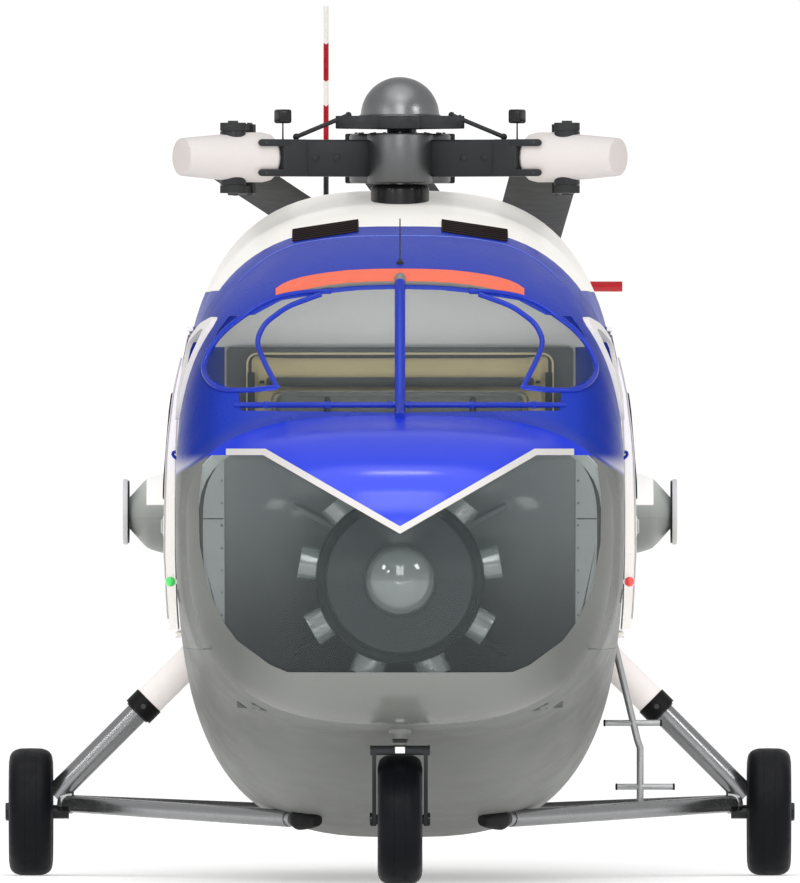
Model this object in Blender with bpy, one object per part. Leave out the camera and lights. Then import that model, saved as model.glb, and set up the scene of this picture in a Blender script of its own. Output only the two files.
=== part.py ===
"""Utility helicopter with a nose-mounted radial engine, blades folded aft, standing on three wheels.

Metres, +Z up, nose towards -Y, the machine's port side towards +X, ground at Z = 0.
All tables and constants are written from the main rotor mast (Y = 0 there); the last
step moves everything by FRAME_Y so that the length is centred on the origin.
"""

import math

import bmesh
import bpy
from mathutils import Matrix, Vector

for old in list(bpy.data.objects):
    bpy.data.objects.remove(old, do_unlink=True)

# ---------------------------------------------------------------- driving dimensions
FRAME_Y = -3.4985         # moves the mast so that the whole length is centred
GAP = 0.0004              # clearance between neighbours that touch
WALL = 0.05               # whole thickness of the cabin and nose walls
TAIL_WALL = 0.025         # thickness of the tail cone's wall
RING = 36                 # points round a body section

NOSE_TIP = -3.66
NOSE_SPLIT = -2.86        # nose shell meets the cabin shell (firewall)
CABIN_END = 2.60          # cabin shell meets the tail cone
CONE_END = 8.90
ROOF_FRONT = -1.40        # front edge of the white roof panel
ROOF_EDGE_Z = 2.93        # lower edge of the white roof panel
FLOOR_Z = 1.16            # underside of the cabin floor, where the belly tub meets the walls

PX = 0.005                # one unit of the front outline tables, in metres
MID = 400.0               # centre line of those tables
GROUND = 878.0            # ground line of those tables

WHEEL_R = 0.32
WHEEL_W = 0.22
RIM_R = 0.165
MAIN_X = 1.856            # centre of a main wheel
MAIN_Y = 1.05
NOSE_LEG_Y = -2.64
NOSE_TRAIL = 0.13

ROTOR_Z = 3.60            # height of the arms
PIN_R = 0.961             # blade fold pins, from the mast
ARM_AZ = {"a": 210.0, "b": 330.0, "c": 90.0}        # arm directions, from +X towards +Y
FOLD_AZ = {"a": 83.5, "b": 91.0, "c": 86.8}         # blade directions when folded
BLADE_LEN = 7.0
BLADE_CHORD = 0.35
BLADE_DROOP = 4.0         # degrees

DOOR_Y0, DOOR_Y1 = -0.70, 0.50
DOOR_Z0, DOOR_Z1 = 1.245, 2.715

TAIL_HUB = (-0.39, 9.46, 3.15)
TAIL_R = 1.33

# Body stations: y, top z, bottom z, half width, z of the widest point, section exponent
STATIONS = [
    (-3.660, 1.78, 1.58, 0.12, 1.68, 2.2),
    (-3.650, 1.87, 1.47, 0.29, 1.68, 2.2),
    (-3.620, 1.955, 1.36, 0.47, 1.68, 2.3),
    (-3.560, 2.035, 1.24, 0.63, 1.69, 2.4),
    (-3.450, 2.115, 1.09, 0.78, 1.70, 2.5),
    (-3.200, 2.230, 0.91, 0.94, 1.73, 2.7),
    (-2.950, 2.290, 0.81, 1.03, 1.77, 2.8),
    (-2.760, 2.345, 0.775, 1.07, 1.80, 2.9),
    (-2.640, 2.440, 0.760, 1.09, 1.81, 3.0),
    (-2.400, 2.690, 0.730, 1.105, 1.82, 3.0),
    (-2.160, 2.925, 0.685, 1.11, 1.82, 3.0),
    (-2.000, 3.025, 0.62, 1.11, 1.82, 3.0),
    (-1.700, 3.155, 0.50, 1.11, 1.82, 3.0),
    (-1.400, 3.250, 0.40, 1.11, 1.82, 3.0),
    (-1.000, 3.325, 0.305, 1.11, 1.82, 3.0),
    (-0.500, 3.350, 0.240, 1.11, 1.82, 3.0),
    (-0.150, 3.368, 0.215, 1.11, 1.82, 3.0),
    (0.120, 3.415, 0.205, 1.11, 1.82, 3.0),
    (0.350, 3.440, 0.200, 1.11, 1.82, 3.0),
    (0.600, 3.425, 0.200, 1.11, 1.82, 3.0),
    (0.860, 3.370, 0.200, 1.11, 1.82, 3.0),
    (1.300, 3.330, 0.215, 1.11, 1.82, 3.0),
    (1.800, 3.300, 0.265, 1.11, 1.82, 3.0),
    (2.200, 3.250, 0.360, 1.09, 1.82, 3.0),
    (2.600, 3.170, 0.520, 1.03, 1.84, 2.9),
    (3.200, 3.020, 0.860, 0.87, 1.92, 2.7),
    (4.000, 2.820, 1.280, 0.64, 2.04, 2.5),
    (5.200, 2.600, 1.640, 0.44, 2.12, 2.3),
    (6.800, 2.430, 1.820, 0.31, 2.12, 2.2),
    (8.900, 2.280, 1.930, 0.17, 2.10, 2.2),
]

# Front outlines, left half, from the centre line at the top round to the centre line at the bottom
WINDSCREEN = [(400, 291), (360, 292), (322, 296), (283, 302), (256, 316.5), (231, 317.5), (220, 332), (210, 351),
              (205.5, 369), (208, 377), (216, 381), (230, 388), (241, 394), (243, 411), (400, 413)]
NOSE_WINDOW = [(400, 532), (266, 455), (207, 455), (202, 500), (203, 542), (211, 585), (226, 618), (240, 637),
               (258, 650), (273, 661), (290, 668), (400, 668)]
NOSE_TRIM = [(400, 524.5), (268, 448.5), (229, 448.5), (229, 454.8), (266, 454.8), (400, 531.8)]
# Tubular windscreen frame, left half
FRAME_TUBES = [
    [(332, 293), (305, 294), (281, 298), (262, 306), (246, 317), (231, 328), (219, 340), (209, 356), (205, 371),
     (212, 384), (226, 391), (252, 391), (278, 388)],
    [(279, 388), (266, 363), (258, 343), (266, 325), (289, 308), (322, 296)],
]

COLOURS = {
    "white": (0.86, 0.85, 0.82), "blue": (0.07, 0.10, 0.55), "grey": (0.33, 0.34, 0.33), "dark": (0.06, 0.065, 0.07),
    "black": (0.015, 0.015, 0.017), "steel": (0.55, 0.56, 0.57), "glass": (0.45, 0.52, 0.52), "smoke": (0.12, 0.15, 0.16),
    "beige": (0.42, 0.36, 0.22), "wall": (0.62, 0.63, 0.62), "tyre": (0.02, 0.02, 0.022), "red": (0.6, 0.02, 0.03),
}


def material(name, colour, metallic=0.0, rough=0.5, alpha=1.0):
    mat = bpy.data.materials.new(name)
    mat.use_nodes = True
    shader = mat.node_tree.nodes["Principled BSDF"]
    shader.inputs["Base Color"].default_value = (*COLOURS[colour], 1.0)
    shader.inputs["Metallic"].default_value = metallic
    shader.inputs["Roughness"].default_value = rough
    shader.inputs["Alpha"].default_value = alpha
    return mat


# ---------------------------------------------------------------- solids
def make(name, points, faces):
    """One closed solid with its faces turned outwards."""
    mesh = bpy.data.meshes.new(name)
    mesh.from_pydata([tuple(p) for p in points], [], faces)
    mesh.update()
    bm = bmesh.new()
    bm.from_mesh(mesh)
    bmesh.ops.recalc_face_normals(bm, faces=bm.faces)
    if bm.calc_volume(signed=True) < 0:
        bmesh.ops.reverse_faces(bm, faces=bm.faces)
    bm.to_mesh(mesh)
    bm.free()
    obj = bpy.data.objects.new(name, mesh)
    bpy.context.collection.objects.link(obj)
    return obj


def skin_rings(name, rings, split=False):
    """A solid skinned over rings of equal count, with a flat cap at each end. split gives every quad a diagonal that is the same on both sides of the machine."""
    n = len(rings[0])
    points = [p for ring in rings for p in ring]
    faces = []
    for i in range(len(rings) - 1):
        for j in range(n):
            k = (j + 1) % n
            if split and rings[i][j][0] + rings[i][k][0] < -1e-6:
                faces.append((i * n + j, i * n + k, (i + 1) * n + j))
                faces.append((i * n + k, (i + 1) * n + k, (i + 1) * n + j))
            elif split:
                faces.append((i * n + j, i * n + k, (i + 1) * n + k))
                faces.append((i * n + j, (i + 1) * n + k, (i + 1) * n + j))
            else:
                faces.append((i * n + j, i * n + k, (i + 1) * n + k, (i + 1) * n + j))
    faces.append(tuple(range(n)))
    last = (len(rings) - 1) * n
    faces.append(tuple(last + j for j in reversed(range(n))))
    return make(name, points, faces)


def prism(name, outline, low, high, axis="y"):
    """A flat outline pushed along one axis: (x, z) outlines along y, (y, z) outlines along x, (x, y) outlines along z."""
    def at(u, v, w):
        return {"y": (u, w, v), "x": (w, u, v), "z": (u, v, w)}[axis]
    return skin_rings(name, [[at(u, v, low) for u, v in outline], [at(u, v, high) for u, v in outline]])


def box(name, x0, x1, y0, y1, z0, z1):
    return prism(name, [(x0, z0), (x1, z0), (x1, z1), (x0, z1)], y0, y1)


def frame_from(direction):
    d = Vector(direction).normalized()
    side = d.cross(Vector((0, 0, 1)))
    if side.length < 1e-4:
        side = Vector((1, 0, 0))
    side.normalize()
    return d, side, d.cross(side).normalized()


def tube(name, path, radius, sides=16, flat=1.0):
    """A round bar along a path of points. radius is one number or one for each point."""
    path = [Vector(p) for p in path]
    radii = radius if isinstance(radius, (list, tuple)) else [radius] * len(path)
    rings = []
    first = (path[1] - path[0]).normalized()
    _, side, up = frame_from(first)
    for i, p in enumerate(path):
        before = (p - path[i - 1]).normalized() if i else (path[1] - p).normalized()
        after = (path[i + 1] - p).normalized() if i < len(path) - 1 else before
        along = (before + after).normalized()
        side = (side - along * side.dot(along)).normalized()
        up = along.cross(side).normalized()
        wide = 1.0 / max(0.5, before.dot(along))
        bend = (after - before)
        bend = (bend - along * bend.dot(along))
        ring = []
        for k in range(sides):
            a = 2 * math.pi * k / sides
            off = side * (math.cos(a) * radii[i]) + up * (math.sin(a) * radii[i] * flat)
            if bend.length > 1e-6:
                b = bend.normalized()
                off += b * off.dot(b) * (wide - 1)
            ring.append(p + off)
        rings.append(ring)
    return skin_rings(name, rings)


def lathe(name, profile, origin, axis, sides=40):
    """A closed profile of (radius, distance along the axis) turned once round the axis."""
    d, side, up = frame_from(axis)
    origin = Vector(origin)
    n = len(profile)
    points, faces = [], []
    solid_ends = any(r < 1e-9 for r, _ in profile)
    if solid_ends:
        # a profile that starts and ends on the axis
        ring_rows = [q for q in profile if q[0] > 1e-9]
        rings = []
        for r, h in ring_rows:
            rings.append([origin + d * h + side * (r * math.cos(2 * math.pi * k / sides))
                          + up * (r * math.sin(2 * math.pi * k / sides)) for k in range(sides)])
        return skin_rings(name, rings)
    for k in range(sides):
        c, s = math.cos(2 * math.pi * k / sides), math.sin(2 * math.pi * k / sides)
        for r, h in profile:
            points.append(origin + d * h + side * (r * c) + up * (r * s))
    for k in range(sides):
        m = (k + 1) % sides
        for i in range(n):
            j = (i + 1) % n
            faces.append((k * n + i, k * n + j, m * n + j, m * n + i))
    return make(name, points, faces)


def cylinder(name, start, end, radius, sides=32):
    return tube(name, [start, end], radius, sides)


def combine(target, other, operation, keep=False):
    mod = target.modifiers.new("combine", "BOOLEAN")
    mod.solver = "EXACT"
    mod.operation = operation
    mod.object = other
    graph = bpy.context.evaluated_depsgraph_get()
    graph.update()
    mesh = bpy.data.meshes.new_from_object(target.evaluated_get(graph))
    target.modifiers.clear()
    old_mesh = target.data
    target.data = mesh
    bpy.data.meshes.remove(old_mesh)
    if not keep:
        bpy.data.objects.remove(other, do_unlink=True)
    return target


def cut(target, other, keep=False):
    return combine(target, other, "DIFFERENCE", keep)


def join(target, *others):
    for other in others:
        combine(target, other, "UNION")
    return target


def common(target, other, keep=False):
    return combine(target, other, "INTERSECT", keep)


# ---------------------------------------------------------------- body surface
def smooth(values, y):
    """Monotone cubic through the station table."""
    ys = [row[0] for row in STATIONS]
    if y <= ys[0]:
        return values[0]
    if y >= ys[-1]:
        return values[-1]
    i = 0
    while ys[i + 1] < y:
        i += 1

    def slope(k):
        if k <= 0 or k >= len(ys) - 1:
            return None
        left = (values[k] - values[k - 1]) / (ys[k] - ys[k - 1])
        right = (values[k + 1] - values[k]) / (ys[k + 1] - ys[k])
        if left * right <= 0:
            return 0.0
        return 2 * left * right / (left + right)

    h = ys[i + 1] - ys[i]
    mean = (values[i + 1] - values[i]) / h
    a = slope(i)
    b = slope(i + 1)
    a = mean if a is None else a
    b = mean if b is None else b
    t = (y - ys[i]) / h
    return (values[i] * (1 + 2 * t) * (1 - t) ** 2 + a * h * t * (1 - t) ** 2
            + values[i + 1] * t * t * (3 - 2 * t) + b * h * t * t * (t - 1))


COLUMNS = list(zip(*STATIONS))


def section(y, inset=0.0):
    """Top, bottom, half width, widest height and exponent of the body at y, moved inwards by inset."""
    mid = smooth(COLUMNS[4], y)
    power = smooth(COLUMNS[5], y)
    d = abs(inset)
    best = None
    for k in range(-8, 9):
        s = d * k / 8
        if y + s < NOSE_TIP - 1e-9:
            if inset > 0:
                s = NOSE_TIP - y
            else:
                continue
        part = math.sqrt(max(d * d - s * s, 0.0)) if d else 0.0
        top, bottom, wide = (smooth(COLUMNS[c], y + s) for c in (1, 2, 3))
        if inset > 0:
            row = (top - part, bottom + part, wide - part)
            best = row if best is None else (min(best[0], row[0]), max(best[1], row[1]), min(best[2], row[2]))
        else:
            row = (top + part, bottom - part, wide + part)
            best = row if best is None else (max(best[0], row[0]), min(best[1], row[1]), max(best[2], row[2]))
        if not d:
            break
    return best[0], best[1], best[2], mid, power


def ring_at(y, inset=0.0):
    top, bottom, wide, mid, power = section(y, inset)
    ring = []
    for k in range(RING):
        a = 2 * math.pi * (k + 0.5) / RING
        c, s = math.cos(a), math.sin(a)
        x = wide * math.copysign(abs(c) ** (2 / power), c)
        half = top - mid if s > 0 else mid - bottom
        ring.append((x, y, mid + half * math.copysign(abs(s) ** (2 / power), s)))
    return ring


def body_solid(name, y0, y1, inset=0.0, step=0.50, least=0.0):
    """The body between two stations, moved inwards (or outwards, if negative) by inset. least thins its rings out."""
    start = max(y0, NOSE_TIP + inset)
    ys = {start, y1}
    last = start
    for row in STATIONS:
        if start + 0.004 < row[0] < y1 - 0.004 and row[0] - last > least:
            ys.add(row[0])
            last = row[0]
    extra = sorted(ys)
    for a, b in zip(extra, extra[1:]):
        n = int((b - a) / step)
        for k in range(n):
            ys.add(a + (b - a) * (k + 1) / (n + 1))
    return skin_rings(name, [ring_at(y, inset) for y in sorted(ys)], True)


def cabin_skin(inset=-0.0008):
    """The outside of the cabin, a little larger, for cutting what meets it."""
    return body_solid("skin", NOSE_SPLIT + GAP, CABIN_END, inset)


def body_shell(name, y0, y1, outer, inner, step=0.50):
    """A thin layer of the body between two insets, open at both ends."""
    shell = body_solid(name, y0, y1, outer, step)
    return cut(shell, body_solid("core", y0 - 0.02 if y0 > NOSE_TIP + 0.1 else y0 + (inner - outer), y1 + 0.02, inner, step))


def xz(px, py):
    return ((px - MID) * PX, (GROUND - py) * PX)


def mirrored(outline):
    """Front outline of both halves, in metres."""
    left = [xz(*p) for p in outline]
    right = [(-x, z) for x, z in reversed(left) if x < -1e-9]
    return left + right


def shrink(outline, d):
    """Moves every side of a closed outline inwards by d."""
    n = len(outline)
    area = sum(outline[i][0] * outline[(i + 1) % n][1] - outline[(i + 1) % n][0] * outline[i][1] for i in range(n))
    sign = 1 if area > 0 else -1
    moved = []
    for i in range(n):
        p0, p1, p2 = (Vector(outline[(i + k) % n]) for k in (-1, 0, 1))
        a, b = (p1 - p0).normalized(), (p2 - p1).normalized()
        na, nb = Vector((-a.y, a.x)) * sign, Vector((-b.y, b.x)) * sign
        bis = (na + nb)
        if bis.length < 1e-6:
            bis = na
        bis.normalize()
        moved.append(tuple(p1 + bis * (d / max(0.4, bis.dot(na)))))
    return moved


def rounded(x0, x1, z0, z1, r, steps=4):
    """A rectangle with round corners."""
    out = []
    for cx, cz, start in ((x1 - r, z1 - r, 0), (x0 + r, z1 - r, 90), (x0 + r, z0 + r, 180), (x1 - r, z0 + r, 270)):
        for k in range(steps + 1):
            a = math.radians(start + 90 * k / steps)
            out.append((cx + r * math.cos(a), cz + r * math.sin(a)))
    return out


def front_y(x, z):
    """Where a line along +Y through (x, z) first meets the body."""
    y = NOSE_TIP
    while y < -0.4:
        top, bottom, wide, mid, power = section(y)
        half = top - mid if z > mid else mid - bottom
        if (abs(x) / wide) ** power + (abs(z - mid) / half) ** power <= 1:
            return y
        y += 0.005
    return y


def side_x(y, z):
    """Half width of the body at a height."""
    top, bottom, wide, mid, power = section(y)
    half = top - mid if z > mid else mid - bottom
    t = max(0.0, 1 - (abs(z - mid) / half) ** power)
    return wide * t ** (1 / power)


# ---------------------------------------------------------------- finishing
def finish(obj, name, mat, origin=None, angle=35.0):
    obj.name = name
    obj.data.name = name
    obj.data.materials.clear()
    obj.data.materials.append(mat)
    if origin is not None:
        obj.data.transform(Matrix.Translation(-Vector(origin)))
        obj.location = origin
    for poly in obj.data.polygons:
        poly.use_smooth = True
    obj.data.set_sharp_from_angle(angle=math.radians(angle))
    return obj


def mirror_x(obj, name):
    """A mirrored copy on the other side of the centre plane."""
    mesh = obj.data.copy()
    for v in mesh.vertices:
        v.co.x = -v.co.x
    mesh.flip_normals()
    other = bpy.data.objects.new(name, mesh)
    other.location = (-obj.location.x, obj.location.y, obj.location.z)
    bpy.context.collection.objects.link(other)
    return other


white = material("white paint", "white", rough=0.35)
blue = material("blue paint", "blue", rough=0.3)
grey = material("grey paint", "grey", rough=0.45)
dark = material("dark metal", "dark", rough=0.45)
black = material("black", "black", rough=0.4)
steel = material("bright steel", "steel", metallic=1.0, rough=0.25)
clear = material("clear glass", "glass", rough=0.05, alpha=0.3)
smoke = material("smoked glass", "smoke", rough=0.05, alpha=0.6)
beige = material("beige fabric", "beige", rough=0.9)
lining = material("cockpit lining", "wall", rough=0.8)
tyre_rubber = material("tyre rubber", "tyre", rough=0.85)

# ---------------------------------------------------------------- nose
nose_cavity_end = NOSE_SPLIT + 0.02
shell = body_solid("shell", NOSE_TIP, NOSE_SPLIT)
cut(shell, body_solid("core", NOSE_TIP + WALL, nose_cavity_end, WALL))
cut(shell, prism("opening", mirrored(NOSE_WINDOW), NOSE_TIP - 0.1, -2.90))
finish(shell, "nose_shell", grey)

pane = body_solid("pane", NOSE_TIP + 0.020, -2.895, 0.020)
cut(pane, body_solid("core", NOSE_TIP + 0.028, -2.87, 0.028))
common(pane, prism("opening", shrink(mirrored(NOSE_WINDOW), 0.0006), NOSE_TIP - 0.1, -2.9006))
finish(pane, "nose_glass", smoke)

trim = body_solid("trim", NOSE_TIP - 0.012, -2.80, -0.012)
cut(trim, body_solid("core", NOSE_TIP - GAP, -2.78, -GAP))
common(trim, prism("band", mirrored(NOSE_TRIM), NOSE_TIP - 0.1, -2.875))
finish(trim, "nose_trim", white)

# ---------------------------------------------------------------- cabin
shell = body_solid("shell", NOSE_SPLIT + GAP, CABIN_END)
cavity = (NOSE_SPLIT + WALL, CABIN_END - WALL)
cut(shell, body_solid("core", cavity[0], cavity[1], WALL, 0.8, 0.30))
cut(shell, prism("opening", mirrored(WINDSCREEN), NOSE_SPLIT - 0.2, -1.95))

# cockpit side windows, door openings
# the side window's upper edge falls a little towards the back
def raked(points):
    return [(y, z - 0.09 * (y + 1.88) / 0.61 * max(0.0, (z - 2.34) / 0.415)) for y, z in points]


SIDE_WINDOW = raked(rounded(-1.88, -1.27, 2.34, 2.755, 0.07))
DOOR_OPENING = rounded(DOOR_Y0 + 0.05, DOOR_Y1 - 0.05, DOOR_Z0 + 0.02, DOOR_Z1 - 0.06, 0.08)
cut(shell, prism("side", SIDE_WINDOW, -1.4, 1.4, "x"))
cut(shell, prism("door", DOOR_OPENING, -1.4, 1.4, "x"))

# tubular frame of the windscreen, one body with the shell
for path in FRAME_TUBES:
    for sign in (-1, 1):
        points = []
        for px, py in path:
            x, z = xz(px, py)
            points.append((x if sign < 0 else -x, front_y(x, z) - 0.004, z))
        join(shell, tube("tube", points, 0.015, 6))
post = [(0.0, front_y(0.0, z) - 0.004, z) for z in (2.335, 2.45, 2.60, 2.75, 2.90, 2.965)]
join(shell, tube("post", post, 0.026, 12))
sill = []
for k in range(13):
    px = 236 + (564 - 236) * k / 12
    x, z = xz(px, 405.5)
    sill.append((x, front_y(x, z) - 0.002, z))
join(shell, tube("sill", sill, 0.015, 6))

# the white roof panel is lifted off the cabin shell along its real seam
roof = shell.copy()
roof.data = shell.data.copy()
bpy.context.collection.objects.link(roof)
common(roof, box("panel", -1.3, 1.3, ROOF_FRONT + GAP, CABIN_END + 0.1, ROOF_EDGE_Z + GAP, 3.8))
cut(shell, box("panel", -1.3, 1.3, ROOF_FRONT, CABIN_END + 0.1, ROOF_EDGE_Z, 3.8))
finish(roof, "roof_panel", white)

# the rest parts at its frames: belly tub below the floor, cockpit section, cabin section
belly = shell.copy()
belly.data = shell.data.copy()
bpy.context.collection.objects.link(belly)
common(belly, box("low", -1.3, 1.3, NOSE_SPLIT - 0.1, CABIN_END + 0.1, 0.0, FLOOR_Z - GAP))
finish(belly, "belly_shell", grey)
cut(shell, box("low", -1.3, 1.3, NOSE_SPLIT - 0.1, CABIN_END + 0.1, 0.0, FLOOR_Z))
front = shell.copy()
front.data = shell.data.copy()
bpy.context.collection.objects.link(front)
common(front, box("front", -1.3, 1.3, NOSE_SPLIT - 0.1, ROOF_FRONT - GAP, 1.0, 3.8))
finish(front, "cockpit_shell", blue)
cut(shell, box("front", -1.3, 1.3, NOSE_SPLIT - 0.1, ROOF_FRONT, 1.0, 3.8))
finish(shell, "cabin_shell", blue)

# windscreen pane
pane = body_shell("pane", -2.855, -1.93, 0.036, 0.044, 0.25)
common(pane, prism("opening", shrink(mirrored(WINDSCREEN), 0.0008), -2.84, -1.955))
finish(pane, "windscreen_glass", clear)

# cockpit side windows: frame outside, pane inside the wall
pane = body_shell("pane", -2.05, -1.22, 0.010, 0.016)
common(pane, prism("side", shrink(SIDE_WINDOW, 0.0008), 0.2, 1.4, "x"))
finish(pane, "cockpit_window_glass_l", clear)
finish(mirror_x(pane, "r"), "cockpit_window_glass_r", clear)
frame = body_shell("frame", -2.12, -1.15, -0.022, -GAP)
common(frame, prism("outer", raked(rounded(-1.93, -1.22, 2.29, 2.805, 0.09)), 0.2, 1.4, "x"))
cut(frame, prism("inner", shrink(SIDE_WINDOW, 0.004), 0.2, 1.5, "x"))
finish(frame, "cockpit_window_frame_l", white)
finish(mirror_x(frame, "r"), "cockpit_window_frame_r", white)

# floors, cockpit wall and seat
inside = body_solid("inside", cavity[0], cavity[1], WALL + 0.0015, 0.8, 0.30)
floor = box("floor", -1.3, 1.3, cavity[0] + GAP, cavity[1] - GAP, FLOOR_Z, FLOOR_Z + 0.04)
finish(common(floor, inside, keep=True), "cabin_floor", grey)
deck = box("deck", -1.3, 1.3, cavity[0] + GAP, -1.36, 2.02, 2.06)
finish(common(deck, inside, keep=True), "cockpit_deck", grey)
wall = box("wall", -1.3, 1.3, -1.36 + GAP, -1.325, 2.02, 3.4)
finish(common(wall, inside), "cockpit_wall", lining)
panel = prism("panel", rounded(-0.86, 0.86, 2.0604, 2.65, 0.02, 2), -1.40, -1.36 - GAP)
finish(panel, "seat_panel", dark)
back = prism("back", rounded(-0.765, 0.765, 2.28, 2.625, 0.06), -1.52, -1.40 - GAP)
finish(back, "seat_back", beige)
base = box("base", -0.64, 0.64, -1.95, -1.525, 2.0604, 2.30)
join(base, prism("cushion", rounded(-0.64, 0.64, 2.29, 2.43, 0.04), -1.98, -1.5206))
finish(base, "seat_cushion", dark)
finish(cylinder("roll", (-0.675, -1.567, 2.4756), (0.675, -1.567, 2.4756), 0.045, 16), "seat_roll", dark)

# ---------------------------------------------------------------- sliding cabin doors, proud of the skin
# outer face: z, x
DOOR_FACE = [(1.245, 1.148), (1.300, 1.160), (1.380, 1.166), (1.620, 1.178), (1.850, 1.176), (2.100, 1.168),
             (2.220, 1.158), (2.340, 1.143), (2.420, 1.133), (2.500, 1.117), (2.600, 1.093), (2.715, 1.062)]
DOOR_CLEAR = 0.012


def widest_x(z):
    return max(side_x(y, z) for y in (-0.7, -0.4, -0.1, 0.1, 0.35, 0.6, 0.9, 1.3, 1.7)) + DOOR_CLEAR


outline = [(x, z) for z, x in DOOR_FACE]
inner = [(min(widest_x(z), x - 0.006), z) for z, x in DOOR_FACE]
outline += list(reversed(inner))
door = prism("door", outline, DOOR_Y0, DOOR_Y1)
DOOR_WINDOW = rounded(DOOR_Y0 + 0.22, DOOR_Y1 - 0.22, 1.90, 2.42, 0.09)
cut(door, prism("window", DOOR_WINDOW, 0.9, 1.4, "x"))
finish(door, "cabin_door_l", white)
finish(mirror_x(door, "r"), "cabin_door_r", white)
inner_mid = [(0.5 * (a + x) - 0.003, z) for (a, z), (z2, x) in zip(inner, DOOR_FACE)]
outer_mid = [(0.5 * (a + x) + 0.003, z) for (a, z), (z2, x) in zip(inner, DOOR_FACE)]
pane = prism("pane", outer_mid + list(reversed(inner_mid)), DOOR_Y0 + 0.1, DOOR_Y1 - 0.1)
common(pane, prism("window", shrink(DOOR_WINDOW, 0.0008), 0.9, 1.4, "x"))
finish(pane, "door_glass_l", clear)
finish(mirror_x(pane, "r"), "door_glass_r", clear)

# ---------------------------------------------------------------- tail cone, pylon and stabiliser
cone = body_solid("cone", CABIN_END + GAP, CONE_END, 0.0, 1.3)
cut(cone, body_solid("core", CABIN_END - 0.02, CONE_END - 0.20, TAIL_WALL, 2.0, 0.7))
finish(cone, "tail_cone", white)

# pylon side outline: y, z
PYLON = [(8.9004, 1.93), (9.06, 2.02), (9.30, 2.60), (9.66, 3.30), (9.62, 3.40), (9.30, 3.44), (9.16, 3.36),
         (9.00, 2.95), (8.9004, 2.60)]
rings = []
for x, grow in ((-0.10, -0.05), (-0.07, 0.0), (0.07, 0.0), (0.10, -0.05)):
    rings.append([(x, y, z) for y, z in shrink(PYLON, -grow)])
pylon = skin_rings("pylon", rings)
cut(pylon, box("trim", -0.5, 0.5, 8.0, 8.9004, 1.0, 4.0))
gearbox = cylinder("gearbox", (-0.30, TAIL_HUB[1], TAIL_HUB[2]), (0.06, TAIL_HUB[1], TAIL_HUB[2]), 0.11, 24)
stab_root = [(9.02, 2.998), (9.10, 3.022), (9.22, 3.026), (9.34, 3.018), (9.46, 2.998), (9.34, 2.978), (9.22, 2.972),
             (9.10, 2.976)]
stab_tip = [(9.08 + (y - 9.02) * 0.8, z) for y, z in stab_root]
stab = skin_rings("stab", [[(0.02, y, z) for y, z in stab_root], [(1.171, y, z) for y, z in stab_tip]])
join(pylon, gearbox, stab)
finish(pylon, "tail_pylon", white)

# ---------------------------------------------------------------- side pods
POD_Y, POD_Z = 2.24, 1.820
rows = [(0.95, 0.34, 0.205), (1.165, 0.34, 0.205), (1.280, 0.285, 0.171), (1.372, 0.125, 0.075)]
rings = []
for x, ay, az in rows:
    rings.append([(x, POD_Y + ay * math.cos(2 * math.pi * (k + 0.5) / 12), POD_Z + az * math.sin(2 * math.pi * (k + 0.5) / 12) / math.cos(math.pi / 12))
                  for k in range(12)])
pod = skin_rings("pod", rings)
cut(pod, cabin_skin())
join(pod, lathe("disc", [(0.0, 0), (0.157, 0), (0.157, 0.008), (0.1650, 0.008), (0.1650, 0.034), (0.0, 0.034)], (1.370, POD_Y, POD_Z + 0.006), (1, 0, 0), 32))
finish(pod, "side_pod_l", grey)
finish(mirror_x(pod, "r"), "side_pod_r", grey)

# ---------------------------------------------------------------- engine behind the nose glass
ENGINE_Z = (GROUND - 577) * PX
engine = lathe("case", [(0, -3.34), (0.30, -3.34), (0.345, -3.33), (0.395, -3.28), (0.415, -3.20), (0.415, -3.12),
                        (0.30, -3.06), (0.30, -2.9006), (0, -2.9006)], (0, 0, ENGINE_Z), (0, 1, 0), 36)
for k in range(9):
    a = math.radians(90 + 40 * k)
    d = Vector((math.cos(a), 0, math.sin(a)))
    base_point = Vector((0, -3.19, ENGINE_Z))
    join(engine, cylinder("barrel", base_point + d * 0.30, base_point + d * 0.50, 0.084, 8))
join(engine, lathe("front", [(0, -3.50), (0.055, -3.495), (0.11, -3.465), (0.15, -3.42), (0.168, -3.37), (0.168, -3.32),
                             (0, -3.32)], (0, 0, ENGINE_Z), (0, 1, 0), 28))
finish(engine, "engine", dark)
bay = box("bay", -0.86, 0.86, -2.90, -2.88, 1.04, 2.12)
common(bay, body_solid("inside", NOSE_TIP + 0.1, NOSE_SPLIT, WALL + 0.0015))
finish(bay, "engine_bay_panel", dark)

# ---------------------------------------------------------------- main gear, port side, then mirrored
skin = cabin_skin()
OLEO_TOP = Vector((0.97, MAIN_Y, 1.17))
OLEO_LOW = Vector((1.74, MAIN_Y, 0.40))
down = (OLEO_LOW - OLEO_TOP).normalized()
collar_at = Vector((1.29, MAIN_Y, 0.85))
oleo = cylinder("oleo", OLEO_TOP - down * 0.05, collar_at, 0.0765, 28)
cut(oleo, skin, keep=True)
join(oleo, cylinder("collar", collar_at - down * 0.040, collar_at + down * 0.040, 0.082, 28))
finish(oleo, "oleo_cylinder_l", white)
finish(mirror_x(oleo, "r"), "oleo_cylinder_r", white)

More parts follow.
